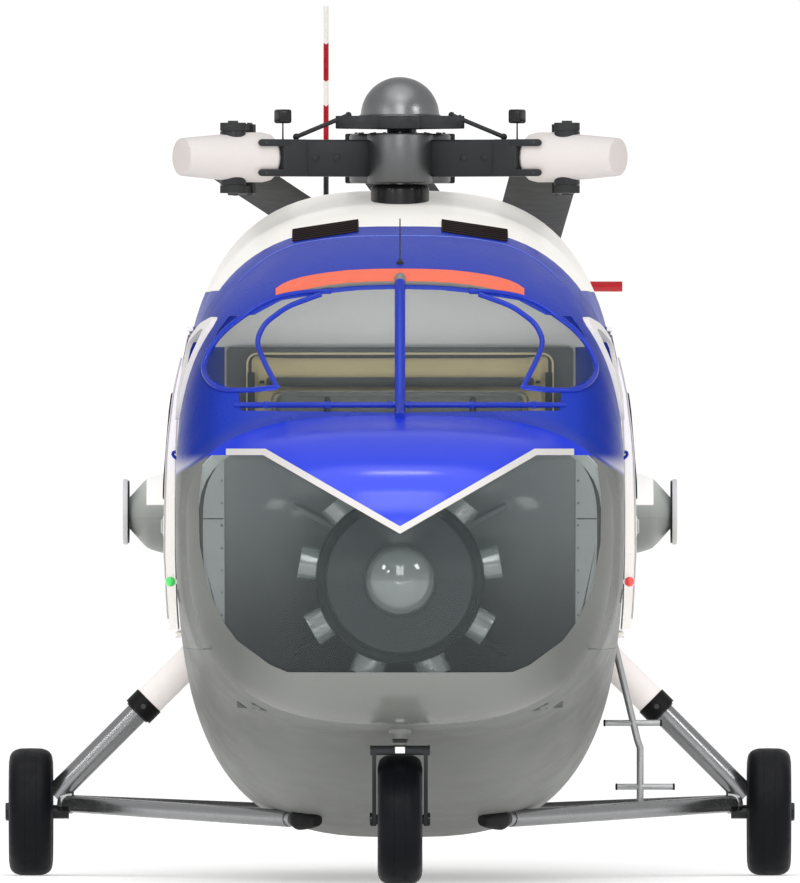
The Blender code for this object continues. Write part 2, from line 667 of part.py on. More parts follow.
leg = cylinder("piston", collar_at + down * (0.040 + GAP), OLEO_LOW, 0.057, 20)
join(leg, cylinder("axle", (1.665, MAIN_Y, WHEEL_R), (1.985, MAIN_Y, WHEEL_R), 0.035, 16))
join(leg, lathe("knuckle", [(0, 1.64), (0.052, 1.64), (0.060, 1.65), (0.060, 1.71), (0.052, 1.722), (0, 1.722)],
                (0, MAIN_Y, 0.37), (1, 0, 0), 16))
rod_end = Vector((0.55, -0.74, 0.305))
rod_start = Vector((1.69, MAIN_Y, 0.362))
join(leg, cylinder("rod", rod_start, rod_end, 0.0425, 16))
along = (rod_end - rod_start).normalized()
join(leg, tube("fitting", [rod_end - along * 0.02, rod_end + along * 0.080, rod_end + along * 0.090, rod_end + along * 0.26],
               [0.038, 0.0415, 0.051, 0.028], 14))
join(leg, cylinder("stay", (1.69, MAIN_Y, 0.385), (0.52, 1.30, 0.335), 0.022, 10))
cut(leg, skin)
finish(leg, "main_leg_l", steel)
finish(mirror_x(leg, "r"), "main_leg_r", steel)

half = WHEEL_W / 2
TYRE = [(RIM_R + 0.0005, -0.072), (0.20, -0.100), (0.26, -half), (0.290, -half + 0.006), (0.312, -half + 0.030),
        (WHEEL_R, -half + 0.07), (WHEEL_R, half - 0.07), (0.312, half - 0.030), (0.290, half - 0.006),
        (0.26, half), (0.20, 0.100), (RIM_R + 0.0005, 0.072)]
RIM = [(0.0360, -0.090), (0.062, -0.090), (0.095, -0.050), (RIM_R, -0.070),
       (RIM_R, 0.070), (0.095, 0.050), (0.062, 0.090), (0.0360, 0.090)]


def wheel(centre, side):
    finish(lathe("tyre", TYRE, centre, (1, 0, 0), 28), "tyre_" + side, tyre_rubber, centre)
    finish(lathe("rim", RIM, centre, (1, 0, 0), 28), "rim_" + side, grey, centre)


wheel((MAIN_X, MAIN_Y, WHEEL_R), "main_l")
wheel((-MAIN_X, MAIN_Y, WHEEL_R), "main_r")

# ---------------------------------------------------------------- nose gear
NOSE_Y = NOSE_LEG_Y + NOSE_TRAIL
wheel((0.0, NOSE_Y, WHEEL_R), "nose")
leg = cylinder("leg", (0, NOSE_LEG_Y, 0.6884), (0, NOSE_LEG_Y, 0.95), 0.030, 20)
cut(leg, cabin_skin())
finish(leg, "nose_leg", white)
pivot = (0.0, NOSE_LEG_Y, 0.655)
fork = cylinder("bar", (-0.14, NOSE_LEG_Y, 0.662), (0.14, NOSE_LEG_Y, 0.662), 0.024, 18)
join(fork, cylinder("post", (0, NOSE_LEG_Y, 0.660), (0, NOSE_LEG_Y, 0.6880), 0.034, 20))
for sign in (-1, 1):
    blade = prism("leg", [(NOSE_LEG_Y - 0.022, 0.655), (NOSE_LEG_Y + 0.022, 0.672), (NOSE_Y + 0.030, 0.335),
                          (NOSE_Y + 0.018, 0.288), (NOSE_Y - 0.018, 0.288), (NOSE_Y - 0.034, 0.320)],
                  min(sign * 0.117, sign * 0.137), max(sign * 0.117, sign * 0.137), "x")
    join(fork, blade)
join(fork, cylinder("axle", (-0.134, NOSE_Y, WHEEL_R), (0.134, NOSE_Y, WHEEL_R), 0.025, 18))
finish(fork, "nose_fork", dark, pivot)

# ---------------------------------------------------------------- boarding step, port side
STEP_Y = 0.62
pole = tube("pole", [(1.00, STEP_Y, 1.34), (1.075, STEP_Y, 1.17), (1.190, STEP_Y, 0.690), (1.205, STEP_Y, 0.645), (1.205, STEP_Y, 0.305)], 0.0175, 12)
cut(pole, cabin_skin())
for px0, px1, py in ((606, 661, 724), (618, 674, 788)):
    x0, z = xz(px0, py)
    x1, _ = xz(px1, py)
    join(pole, cylinder("rung", (x0, STEP_Y, z), (x1, STEP_Y, z), 0.0155, 12))
finish(pole, "boarding_step", steel)

# ---------------------------------------------------------------- main rotor
# fixed mast housing on the roof, then the turning head
mast = cylinder("mast", (0, 0, 3.30), (0, 0, 3.4680), 0.1475, 32)
cut(mast, cabin_skin())
finish(mast, "mast_housing", black)

head_origin = (0.0, 0.0, ROTOR_Z)
hub = lathe("drum", [(0, 3.4735), (0.1725, 3.4735), (0.1725, 3.7248), (0.065, 3.7248), (0.065, 3.7445), (0, 3.7445)],
            (0, 0, 0), (0, 0, 1), 36)
join(hub, box("block", -0.275, 0.275, 0.155, 0.30, 3.475, 3.7235))


def turned(obj, degrees):
    obj.data.transform(Matrix.Rotation(math.radians(degrees), 4, "Z"))
    return obj


def arm_parts():
    """One arm along +X: a beam whose wide end carries four straps beside the cuff, and a fluid bottle on a stalk."""
    arm = box("arm", 0.12, 0.640, -0.062, 0.062, 3.505, 3.690)
    join(arm, box("yoke", 0.600, 0.7435, -0.130, 0.130, 3.505, 3.690))
    for sign in (-1, 1):
        for low, high in ((3.655, 3.690), (3.505, 3.540)):
            join(arm, box("strap", 0.70, 0.880, min(sign * 0.114, sign * 0.130), max(sign * 0.114, sign * 0.130), low, high))
    join(arm, cylinder("stalk", (0.675, 0, 3.68), (0.675, 0, 3.790), 0.008, 6))
    join(arm, prism("bottle", rounded(0.6425, 0.7075, 3.7725, 3.8375, 0.012, 1), -0.0325, 0.0325))
    return arm


for key, az in ARM_AZ.items():
    join(hub, turned(arm_parts(), az))
finish(hub, "rotor_hub", dark, head_origin)

for key, az in ARM_AZ.items():
    cuff = lathe("cuff", [(0, 0.7445), (0.098, 0.7445), (0.118, 0.764), (0.1245, 0.795), (0.1245, 0.905), (0.095, 1.255), (0, 1.255)],
                 (0, 0, ROTOR_Z), (1, 0, 0), 20)
    join(cuff, cylinder("pin", (PIN_R, 0, 3.420), (PIN_R, 0, 3.772), 0.034, 12))
    finish(turned(cuff, az), "cuff_" + key, white, head_origin)

# head plate with three lobes, struts down to the arms, and the dome
lobes = []
for k in range(36):
    a = math.radians(10 * k)
    near = min(abs((math.degrees(a) - az + 180) % 360 - 180) for az in ARM_AZ.values())
    lobes.append((math.cos(a) * (0.215 + 0.157 * max(0.0, 1 - near / 34) ** 0.8), math.sin(a) * (0.215 + 0.157 * max(0.0, 1 - near / 34) ** 0.8)))
plate = prism("plate", lobes, 3.7450, 3.8095, "z")
join(plate, lathe("dome", [(0, 3.80)] + [(0.1975 * math.cos(math.radians(14 * k)), 3.8075 + 0.1975 * math.sin(math.radians(14 * k))) for k in range(7)]
                  + [(0, 4.0050)], (0, 0, 0), (0, 0, 1), 28))
for key, az in ARM_AZ.items():
    c, s = math.cos(math.radians(az)), math.sin(math.radians(az))
    join(plate, cylinder("strut", (0.300 * c, 0.300 * s, 3.800), (0.588 * c, 0.588 * s, 3.7035), 0.012, 12))
finish(plate, "rotor_head", dark, head_origin)


def airfoil(chord, thick, n=7):
    """Outline (along the chord from the quarter point, across), nose first; the nose points to -y."""
    upper, lower = [], []
    for k in range(n + 1):
        t = 0.5 * (1 - math.cos(math.pi * k / n))
        h = 5 * thick * chord * (0.2969 * math.sqrt(t) - 0.126 * t - 0.3516 * t ** 2 + 0.2843 * t ** 3 - 0.1015 * t ** 4)
        h = max(h, 0.0025 if 0 < k else 0.0)
        upper.append(((t - 0.25) * chord, h))
        lower.append(((t - 0.25) * chord, -h))
    return upper + list(reversed(lower[1:]))


for key, az in ARM_AZ.items():
    # built along +X from the fold pin; the trailing edge lies towards +Y
    drop = math.tan(math.radians(BLADE_DROOP))
    shape = airfoil(BLADE_CHORD, 0.12, 6)
    start, end = 0.44, BLADE_LEN
    rings = []
    for x, scale in ((start, 0.45), (start + 0.32, 1.0), (end * 0.5, 1.0), (end - 0.05, 1.0), (end, 0.93)):
        rings.append([(x, c * scale, ROTOR_Z - drop * x + h * (1.0 if scale > 0.9 else 1.35)) for c, h in shape])
    blade = skin_rings("blade", rings)
    join(blade, box("root", 0.372, 0.50, -0.055, 0.065, 3.425, 3.768))
    join(blade, box("upper", 0.0, 0.44, -0.045, 0.045, 3.7350, 3.768))
    join(blade, box("lower", 0.0, 0.44, -0.045, 0.045, 3.425, 3.4580))
    join(blade, cylinder("lug", (0, 0, 3.7320), (0, 0, 3.7700), 0.065, 18))
    join(blade, cylinder("lug", (0, 0, 3.4220), (0, 0, 3.4600), 0.065, 18))
    cut(blade, cylinder("bore", (0, 0, 3.30), (0, 0, 3.90), 0.0360, 12))
    turned(blade, FOLD_AZ[key])
    c, s = math.cos(math.radians(az)), math.sin(math.radians(az))
    blade.data.transform(Matrix.Translation((PIN_R * c, PIN_R * s, 0)))
    finish(blade, "blade_" + key, dark, (PIN_R * c, PIN_R * s, ROTOR_Z))

# ---------------------------------------------------------------- tail rotor
hub = lathe("hub", [(0, -0.455), (0.030, -0.455), (0.045, -0.44), (0.062, -0.43), (0.062, -0.36), (0.045, -0.345), (0.045, -0.3055), (0, -0.3055)],
            (0, TAIL_HUB[1], TAIL_HUB[2]), (1, 0, 0), 20)
for k in range(3):
    a = math.radians(90 + 120 * k)
    shape = airfoil(0.17, 0.16, 4)
    rings = []
    for r, scale in ((0.03, 0.32), (0.20, 0.34), (0.34, 1.0), (TAIL_R - 0.02, 1.0), (TAIL_R, 0.9)):
        thick = 1.9 if scale < 0.5 else 1.15
        rings.append([(TAIL_HUB[0] + h * thick, TAIL_HUB[1] + math.cos(a) * r - math.sin(a) * c * scale,
                       TAIL_HUB[2] + math.sin(a) * r + math.cos(a) * c * scale) for c, h in shape])
    join(hub, skin_rings("tail_blade", rings))
finish(hub, "tail_rotor", red := material("tail rotor paint", "red", rough=0.4), TAIL_HUB)

# ---------------------------------------------------------------- into the shared frame
for obj in bpy.data.objects:
    if obj.parent is None:
        obj.location.y += FRAME_Y
bpy.context.view_layer.update()
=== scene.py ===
"""Looks of the utility helicopter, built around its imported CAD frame.

All tables are written from the main rotor mast (Y = 0 there), as in the CAD; SHIFT moves
them into the shared frame. Nose towards -Y, port side towards +X, ground at Z = 0.
"""

import math

import bmesh
import bpy
from mathutils import Matrix, Vector


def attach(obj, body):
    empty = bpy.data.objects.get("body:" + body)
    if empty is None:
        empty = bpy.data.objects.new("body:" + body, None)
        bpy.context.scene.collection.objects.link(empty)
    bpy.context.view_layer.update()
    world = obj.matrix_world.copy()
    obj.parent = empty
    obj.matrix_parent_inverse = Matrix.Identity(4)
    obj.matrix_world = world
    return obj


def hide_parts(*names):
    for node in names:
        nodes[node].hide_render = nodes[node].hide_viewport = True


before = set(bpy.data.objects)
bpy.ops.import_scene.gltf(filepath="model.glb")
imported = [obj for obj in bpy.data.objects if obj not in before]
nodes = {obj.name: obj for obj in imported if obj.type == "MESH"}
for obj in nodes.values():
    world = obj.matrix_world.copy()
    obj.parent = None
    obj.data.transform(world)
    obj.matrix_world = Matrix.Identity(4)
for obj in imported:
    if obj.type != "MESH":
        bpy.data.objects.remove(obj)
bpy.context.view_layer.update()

FRAME_Y = -3.4985
SHIFT = Matrix.Translation((0.0, FRAME_Y, 0.0))

# ---------------------------------------------------------------- camera: straight onto the nose
LENS = 1400.0
SENSOR = 36.0
PX = 0.005                 # metres for one pixel of the 800 x 883 frame at the mast
camera_data = bpy.data.cameras.new("camera")
camera = bpy.data.objects.new("camera", camera_data)
bpy.context.scene.collection.objects.link(camera)
camera_data.lens = LENS
camera_data.sensor_width = SENSOR
camera_data.clip_start = 1.0
camera_data.clip_end = 1200.0
camera.location = (0.0, FRAME_Y - LENS * 883 * PX / SENSOR, (878 - 441.5) * PX)
camera.rotation_euler = (math.radians(90), 0.0, 0.0)
bpy.context.scene.camera = camera
bpy.context.scene.view_settings.view_transform = "Standard"

# ---------------------------------------------------------------- body tables, as in the CAD
WALL = 0.05
TAIL_WALL = 0.025
NOSE_TIP = -3.66
NOSE_SPLIT = -2.86
CABIN_END = 2.60
CONE_END = 8.90
ROOF_FRONT = -1.40
ROOF_EDGE_Z = 2.93
FLOOR_Z = 1.16
MID = 400.0
GROUND = 878.0

# y, top z, bottom z, half width, z of the widest point, section exponent
STATIONS = [
    (-3.660, 1.78, 1.58, 0.12, 1.68, 2.2),
    (-3.650, 1.87, 1.47, 0.29, 1.68, 2.2),
    (-3.620, 1.955, 1.36, 0.47, 1.68, 2.3),
    (-3.560, 2.035, 1.24, 0.63, 1.69, 2.4),
    (-3.450, 2.115, 1.09, 0.78, 1.70, 2.5),
    (-3.200, 2.230, 0.91, 0.94, 1.73, 2.7),
    (-2.950, 2.290, 0.81, 1.03, 1.77, 2.8),
    (-2.760, 2.345, 0.775, 1.07, 1.80, 2.9),
    (-2.640, 2.440, 0.760, 1.09, 1.81, 3.0),
    (-2.400, 2.690, 0.730, 1.105, 1.82, 3.0),
    (-2.160, 2.925, 0.685, 1.11, 1.82, 3.0),
    (-2.000, 3.025, 0.62, 1.11, 1.82, 3.0),
    (-1.700, 3.155, 0.50, 1.11, 1.82, 3.0),
    (-1.400, 3.250, 0.40, 1.11, 1.82, 3.0),
    (-1.000, 3.325, 0.305, 1.11, 1.82, 3.0),
    (-0.500, 3.350, 0.240, 1.11, 1.82, 3.0),
    (-0.150, 3.368, 0.215, 1.11, 1.82, 3.0),
    (0.120, 3.415, 0.205, 1.11, 1.82, 3.0),
    (0.350, 3.440, 0.200, 1.11, 1.82, 3.0),
    (0.600, 3.425, 0.200, 1.11, 1.82, 3.0),
    (0.860, 3.370, 0.200, 1.11, 1.82, 3.0),
    (1.300, 3.330, 0.215, 1.11, 1.82, 3.0),
    (1.800, 3.300, 0.265, 1.11, 1.82, 3.0),
    (2.200, 3.250, 0.360, 1.09, 1.82, 3.0),
    (2.600, 3.170, 0.520, 1.03, 1.84, 2.9),
    (3.200, 3.020, 0.860, 0.87, 1.92, 2.7),
    (4.000, 2.820, 1.280, 0.64, 2.04, 2.5),
    (5.200, 2.600, 1.640, 0.44, 2.12, 2.3),
    (6.800, 2.430, 1.820, 0.31, 2.12, 2.2),
    (8.900, 2.280, 1.930, 0.17, 2.10, 2.2),
]
COLUMNS = list(zip(*STATIONS))

WINDSCREEN = [(400, 291), (360, 292), (322, 296), (283, 302), (256, 316.5), (231, 317.5), (220, 332), (210, 351),
              (205.5, 369), (208, 377), (216, 381), (230, 388), (241, 394), (243, 411), (400, 413)]
NOSE_WINDOW = [(400, 532), (266, 455), (207, 455), (202, 500), (203, 542), (211, 585), (226, 618), (240, 637),
               (258, 650), (273, 661), (290, 668), (400, 668)]
NOSE_TRIM = [(400, 524.5), (268, 448.5), (229, 448.5), (229, 454.8), (266, 454.8), (400, 531.8)]
FRAME_TUBES = [
    [(332, 293), (305, 294), (281, 298), (262, 306), (246, 317), (231, 328), (219, 340), (209, 356), (205, 371),
     (212, 384), (226, 391), (252, 391), (278, 388)],
    [(279, 388), (266, 363), (258, 343), (266, 325), (289, 308), (322, 296)],
]


def smooth(values, y):
    ys = COLUMNS[0]
    if y <= ys[0]:
        return values[0]
    if y >= ys[-1]:
        return values[-1]
    i = 0
    while ys[i + 1] < y:
        i += 1

    def slope(k):
        if k <= 0 or k >= len(ys) - 1:
            return None
        left = (values[k] - values[k - 1]) / (ys[k] - ys[k - 1])
        right = (values[k + 1] - values[k]) / (ys[k + 1] - ys[k])
        if left * right <= 0:
            return 0.0
        return 2 * left * right / (left + right)

    h = ys[i + 1] - ys[i]
    mean = (values[i + 1] - values[i]) / h
    a, b = slope(i), slope(i + 1)
    a = mean if a is None else a
    b = mean if b is None else b
    t = (y - ys[i]) / h
    return (values[i] * (1 + 2 * t) * (1 - t) ** 2 + a * h * t * (1 - t) ** 2
            + values[i + 1] * t * t * (3 - 2 * t) + b * h * t * t * (t - 1))


plain_sections = {}


def section(y, inset=0.0):
    """Top, bottom, half width, widest height and exponent of the body at y, moved inwards by inset."""
    key = (round(y, 6), inset)
    if key in plain_sections:
        return plain_sections[key]
    mid, power = smooth(COLUMNS[4], y), smooth(COLUMNS[5], y)
    d = abs(inset)
    best = None
    for k in range(-8, 9):
        s = d * k / 8
        if y + s < NOSE_TIP - 1e-9:
            if inset > 0:
                s = NOSE_TIP - y
            else:
                continue
        part = math.sqrt(max(d * d - s * s, 0.0)) if d else 0.0
        top, bottom, wide = (smooth(COLUMNS[c], y + s) for c in (1, 2, 3))
        if inset > 0:
            row = (top - part, bottom + part, wide - part)
            best = row if best is None else (min(best[0], row[0]), max(best[1], row[1]), min(best[2], row[2]))
        else:
            row = (top + part, bottom - part, wide + part)
            best = row if best is None else (max(best[0], row[0]), min(best[1], row[1]), max(best[2], row[2]))
        if not d:
            break
    plain_sections[key] = (best[0], best[1], best[2], mid, power)
    return plain_sections[key]


def field(x, y, z):
    """Below 1 inside the body, above 1 outside."""
    top, bottom, wide, mid, power = section(y)
    half = top - mid if z > mid else mid - bottom
    return (abs(x) / wide) ** power + (abs(z - mid) / half) ** power


def skin_normal(x, y, z):
    """Outward direction of the body surface near a point."""
    y = max(y, NOSE_TIP)
    top, bottom, wide, mid, power = section(y)
    half = top - mid if z > mid else mid - bottom
    gx = power / wide * (abs(x) / wide) ** (power - 1) * math.copysign(1, x)
    gz = power / half * (abs(z - mid) / half) ** (power - 1) * math.copysign(1, z - mid)
    e = 0.002
    gy = (field(x, y + e, z) - field(x, max(y - e, NOSE_TIP), z)) / (e + min(e, y - NOSE_TIP) + 1e-9)
    n = Vector((gx, gy, gz))
    return n.normalized() if n.length > 1e-9 else Vector((0, -1, 0))


def front_y(x, z):
    """Where a line along +Y through (x, z) first meets the body."""
    low, high = NOSE_TIP, NOSE_TIP
    while high < 0.3 and field(x, high, z) > 1:
        low, high = high, high + 0.03
    for _ in range(18):
        half = 0.5 * (low + high)
        if field(x, half, z) > 1:
            low = half
        else:
            high = half
    return high


def side_x(y, z):
    top, bottom, wide, mid, power = section(y)
    half = top - mid if z > mid else mid - bottom
    return wide * max(0.0, 1 - (abs(z - mid) / half) ** power) ** (1 / power)


def top_z(x, y):
    top, bottom, wide, mid, power = section(y)
    return mid + (top - mid) * max(0.0, 1 - (abs(x) / wide) ** power) ** (1 / power)


def low_z(x, y):
    top, bottom, wide, mid, power = section(y)
    return mid - (mid - bottom) * max(0.0, 1 - (abs(x) / wide) ** power) ** (1 / power)


def xz(px, py):
    return ((px - MID) * PX, (GROUND - py) * PX)


def mirrored(outline):
    left = [xz(*p) for p in outline]
    return left + [(-x, z) for x, z in reversed(left) if x < -1e-9]


def shrink(outline, d):
    n = len(outline)
    area = sum(outline[i][0] * outline[(i + 1) % n][1] - outline[(i + 1) % n][0] * outline[i][1] for i in range(n))
    sign = 1 if area > 0 else -1
    moved = []
    for i in range(n):
        p0, p1, p2 = (Vector(outline[(i + k) % n]) for k in (-1, 0, 1))
        a, b = (p1 - p0).normalized(), (p2 - p1).normalized()
        na, nb = Vector((-a.y, a.x)) * sign, Vector((-b.y, b.x)) * sign
        bis = na + nb
        bis = (na if bis.length < 1e-6 else bis).normalized()
        moved.append(tuple(p1 + bis * (d / max(0.4, bis.dot(na)))))
    return moved


def rounded(x0, x1, z0, z1, r, steps=6):
    out = []
    for cx, cz, start in ((x1 - r, z1 - r, 0), (x0 + r, z1 - r, 90), (x0 + r, z0 + r, 180), (x1 - r, z0 + r, 270)):
        for k in range(steps + 1):
            a = math.radians(start + 90 * k / steps)
            out.append((cx + r * math.cos(a), cz + r * math.sin(a)))
    return out


def eased(points, radius, steps=5, closed=False):
    """A line of points with its corners rounded."""
    points = [Vector(p) for p in points]
    n = len(points)
    out = [] if closed else [points[0]]
    for i in range(0 if closed else 1, n if closed else n - 1):
        p0, p1, p2 = points[i - 1], points[i], points[(i + 1) % n]
        a, b = p0 - p1, p2 - p1
        r = min(radius, 0.45 * a.length, 0.45 * b.length)
        if r < 1e-6:
            out.append(p1)
            continue
        start, end = p1 + a.normalized() * r, p1 + b.normalized() * r
        for k in range(steps + 1):
            t = k / steps
            out.append((1 - t) ** 2 * start + 2 * t * (1 - t) * p1 + t * t * end)
    if not closed:
        out.append(points[-1])
    return out


# ---------------------------------------------------------------- materials
class Shade:
    """A procedural material whose patterns are placed in the shared frame."""

    def __init__(self, name, colour, rough=0.4, **sockets):
        self.mat = bpy.data.materials.new(name)
        self.mat.use_nodes = True
        self.tree = self.mat.node_tree
        self.bsdf = self.tree.nodes["Principled BSDF"]
        self.bsdf.inputs["Base Color"].default_value = (*colour, 1.0)
        self.bsdf.inputs["Roughness"].default_value = rough
        for key, value in sockets.items():
            self.bsdf.inputs[key.replace("_", " ")].default_value = value
        self.colour = (*colour, 1.0)
        self.heights = []
        self.where = None

    def node(self, kind, **props):
        n = self.tree.nodes.new(kind)
        for k, v in props.items():
            setattr(n, k, v)
        return n

    def put(self, socket, value):
        if isinstance(value, bpy.types.NodeSocket):
            self.tree.links.new(value, socket)
        else:
            socket.default_value = value

    def coords(self):
        if self.where is None:
            self.where = self.node("ShaderNodeTexCoord").outputs["Object"]
        return self.where

    def axis(self, k):
        if not hasattr(self, "split"):
            n = self.node("ShaderNodeSeparateXYZ")
            self.put(n.inputs[0], self.coords())
            self.split = n.outputs
        return self.split[k]

    def math(self, operation, *values, clamp=False):
        n = self.node("ShaderNodeMath", operation=operation, use_clamp=clamp)
        for socket, v in zip(n.inputs, values):
            self.put(socket, v)
        return n.outputs[0]

    def ramp(self, value, low, high, to_low=0.0, to_high=1.0):
        n = self.node("ShaderNodeMapRange", interpolation_type="SMOOTHSTEP")
        for socket, v in zip(n.inputs, (value, low, high, to_low, to_high)):
            self.put(socket, v)
        return n.outputs[0]

    def above(self, k, at, soft=0.002):
        return self.ramp(self.axis(k), at - soft, at + soft)

    def noise(self, scale, detail=4.0, rough=0.55, stretch=None):
        n = self.node("ShaderNodeTexNoise")
        vector = self.coords()
        if stretch:
            m = self.node("ShaderNodeMapping")
            self.put(m.inputs[0], vector)
            m.inputs["Scale"].default_value = stretch
            vector = m.outputs[0]
        self.put(n.inputs["Vector"], vector)
        n.inputs["Scale"].default_value = scale
        n.inputs["Detail"].default_value = detail
        n.inputs["Roughness"].default_value = rough
        return n.outputs["Fac"]

    def cells(self, scale, feature="F1", stretch=None):
        n = self.node("ShaderNodeTexVoronoi", feature=feature)
        vector = self.coords()
        if stretch:
            m = self.node("ShaderNodeMapping")
            self.put(m.inputs[0], vector)
            m.inputs["Scale"].default_value = stretch
            vector = m.outputs[0]
        self.put(n.inputs["Vector"], vector)
        n.inputs["Scale"].default_value = scale
        return n.outputs["Distance"]

    def mix(self, factor, a, b):
        n = self.node("ShaderNodeMix", data_type="RGBA")
        self.put(n.inputs[0], factor)
        for socket, v in ((n.inputs[6], a), (n.inputs[7], b)):
            self.put(socket, (*v, 1.0) if isinstance(v, tuple) and len(v) == 3 else v)
        return n.outputs[2]

    def zone(self, mask, colour):
        """Paints colour where mask is 1."""
        self.colour = self.mix(mask, self.colour, colour)
        return self

    def tone(self, amount=0.05, scale=1.3, fine=38.0):
        """Slight unevenness of brightness, broad and fine."""
        broad = self.ramp(self.noise(scale, 3.0), 0.25, 0.75, 1 - amount, 1 + amount)
        small = self.ramp(self.noise(fine, 5.0, 0.6), 0.3, 0.7, 1 - amount * 0.5, 1 + amount * 0.5)
        n = self.node("ShaderNodeHueSaturation")
        self.put(n.inputs["Value"], self.math("MULTIPLY", broad, small))
        self.put(n.inputs["Color"], self.colour)
        self.colour = n.outputs[0]
        return self

    def grime(self, colour, amount=0.25, scale=2.5, stretch=(1, 1, 0.25), low=0.52, high=0.78):
        """Dirt in soft patches and runs."""
        mask = self.ramp(self.noise(scale, 6.0, 0.62, stretch), low, high, 0.0, amount)
        return self.zone(mask, colour)

    def gloss(self, low, high, scale=6.0):
        self.put(self.bsdf.inputs["Roughness"], self.ramp(self.noise(scale, 5.0, 0.6), 0.3, 0.72, low, high))
        return self

    def rough_zone(self, mask, inside, outside):
        n = self.math("MULTIPLY_ADD", mask, inside - outside, outside)
        self.put(self.bsdf.inputs["Roughness"], self.math("MULTIPLY", n, self.ramp(self.noise(9.0, 4.0), 0.3, 0.7, 0.85, 1.2)))
        return self

    def relief(self, height, depth):
        """Adds a height, in metres for a change of 1."""
        self.heights.append((height, depth))
        return self

    def seam(self, k, at, width=0.003, depth=0.0015):
        d = self.math("ABSOLUTE", self.math("SUBTRACT", self.axis(k), at))
        return self.relief(self.ramp(d, width * 0.4, width), depth)

    def seams(self, k, start, pitch, width=0.003, depth=0.0015, rivets=True, across=2):
        d = self.math("PINGPONG", self.math("SUBTRACT", self.axis(k), start), pitch / 2)
        self.relief(self.ramp(d, width * 0.4, width), depth)
        if rivets:
            off = self.math("SUBTRACT", d, 0.020)
            run = self.math("PINGPONG", self.axis(across), 0.019)
            r = self.math("SQRT", self.math("ADD", self.math("MULTIPLY", off, off), self.math("MULTIPLY", run, run)))
            self.relief(self.ramp(r, 0.0028, 0.0045, 1.0, 0.0), 0.0008)
        return self

    def fading(self, inner, outer, near=0.55, far=0.95):
        """Less reflection towards the flanks, where the paint is duller."""
        self.put(self.bsdf.inputs["Specular IOR Level"], self.ramp(self.math("ABSOLUTE", self.axis(0)), near, far, inner, outer))
        return self

    def made(self):
        if isinstance(self.colour, bpy.types.NodeSocket):
            self.put(self.bsdf.inputs["Base Color"], self.colour)
        normal = None
        for height, depth in self.heights:
            b = self.node("ShaderNodeBump")
            b.inputs["Strength"].default_value = 1.0
            b.inputs["Distance"].default_value = depth
            self.put(b.inputs["Height"], height)
            if normal is not None:
                self.put(b.inputs["Normal"], normal)
            normal = b.outputs[0]
        if normal is not None:
            self.put(self.bsdf.inputs["Normal"], normal)
        return self.mat


WHITE = (0.85, 0.83, 0.785)
SIDE_WHITE = (0.640, 0.625, 0.592)
CREAM = (0.82, 0.80, 0.74)
BLUE = (0.012, 0.034, 0.345)
SHADED_BLUE = (0.009, 0.026, 0.255)
NOSE_BLUE = (0.007, 0.031, 0.57)
GREY = (0.158, 0.163, 0.153)
DARK = (0.030, 0.032, 0.034)
GRIME = (0.10, 0.09, 0.075)


def over(s, k, at, slope_k=None, slope=0.0, about=0.0, soft=0.002):
    """1 above a line that rises by slope along another axis."""
    if slope_k is None:
        return s.above(k, at, soft)
    line = s.math("MULTIPLY_ADD", s.math("MAXIMUM", s.math("SUBTRACT", s.axis(slope_k), about), 0.0), slope, at)
    return s.ramp(s.math("SUBTRACT", s.axis(k), line), -soft, soft)


def flank(s, near=0.45, far=0.80, low=1.45, high=1.15):
    """Painted shade: the grey is a little darker towards the lower flanks."""
    return s.zone(s.math("MULTIPLY", s.ramp(s.math("ABSOLUTE", s.axis(0)), near, far), s.ramp(s.axis(2), low, high)), (0.128, 0.132, 0.124))


def livery(name, roof=False):
    """White top, blue band and grey underside, running aft along the tail."""
    s = Shade(name, GREY, 0.36, Specular_IOR_Level=0.10)
    # painted shade: darker grey low on the sides
    flank(s, 0.97, 1.08, 2.10, 1.80)
    s.zone(over(s, 2, 2.035, 1, -0.006, CABIN_END + FRAME_Y, 0.012), BLUE)
    s.zone(over(s, 2, ROOF_EDGE_Z, 1, -0.1175, CABIN_END + FRAME_Y), SIDE_WHITE) if not roof else s.zone(over(s, 2, 2.0), SIDE_WHITE)
    s.tone(0.025)
    s.grime(GRIME, 0.06)
    s.gloss(0.31, 0.42)
    s.relief(s.noise(180.0, 2.0), 0.00001)
    return s


s = livery("fuselage_paint")
s.seams(1, ROOF_FRONT + FRAME_Y, 0.65)
s.seams(2, FLOOR_Z, 0.455, rivets=True, across=1)
fuselage_paint = s.made()

s = livery("tail_paint")
s.seams(1, CABIN_END + FRAME_Y, 0.90)
s.seam(2, 2.30)
tail_paint = s.made()

# the border between blue and grey rises towards the front window
def border(s):
    line = s.math("MULTIPLY_ADD", s.math("SUBTRACT", 1.107, s.math("ABSOLUTE", s.axis(0))), 0.56, 2.020)
    return s.ramp(s.math("SUBTRACT", s.axis(2), s.math("MINIMUM", line, 2.105)), -0.012, 0.020)


def cheek(s):
    """Painted shade: the blue is darker towards the sides of the nose and cockpit."""
    return s.math("MULTIPLY", border(s), s.ramp(s.math("ABSOLUTE", s.axis(0)), 0.84, 0.98))


s = Shade("cockpit_paint", GREY, 0.3, Specular_IOR_Level=0.3)
# painted shade: darker grey on the flanks and darker blue at the cheeks; painted highlight: a pale band in the blue
# just above the border
pale = s.math("SUBTRACT", border(s), s.ramp(s.axis(2), 2.03, 2.13))
s.zone(s.ramp(s.math("ABSOLUTE", s.axis(0)), 0.99, 1.09), (0.128, 0.132, 0.124))
s.zone(border(s), BLUE).zone(cheek(s), SHADED_BLUE).zone(s.math("MULTIPLY", s.math("MAXIMUM", pale, 0.0), 0.60), WHITE)
s.tone(0.02).grime(GRIME, 0.03).gloss(0.26, 0.34).fading(0.26, 0.02)
s.relief(s.noise(180.0, 2.0), 0.00001)
s.seam(1, -1.62 + FRAME_Y, 0.002, 0.0008)
cockpit_paint = s.made()

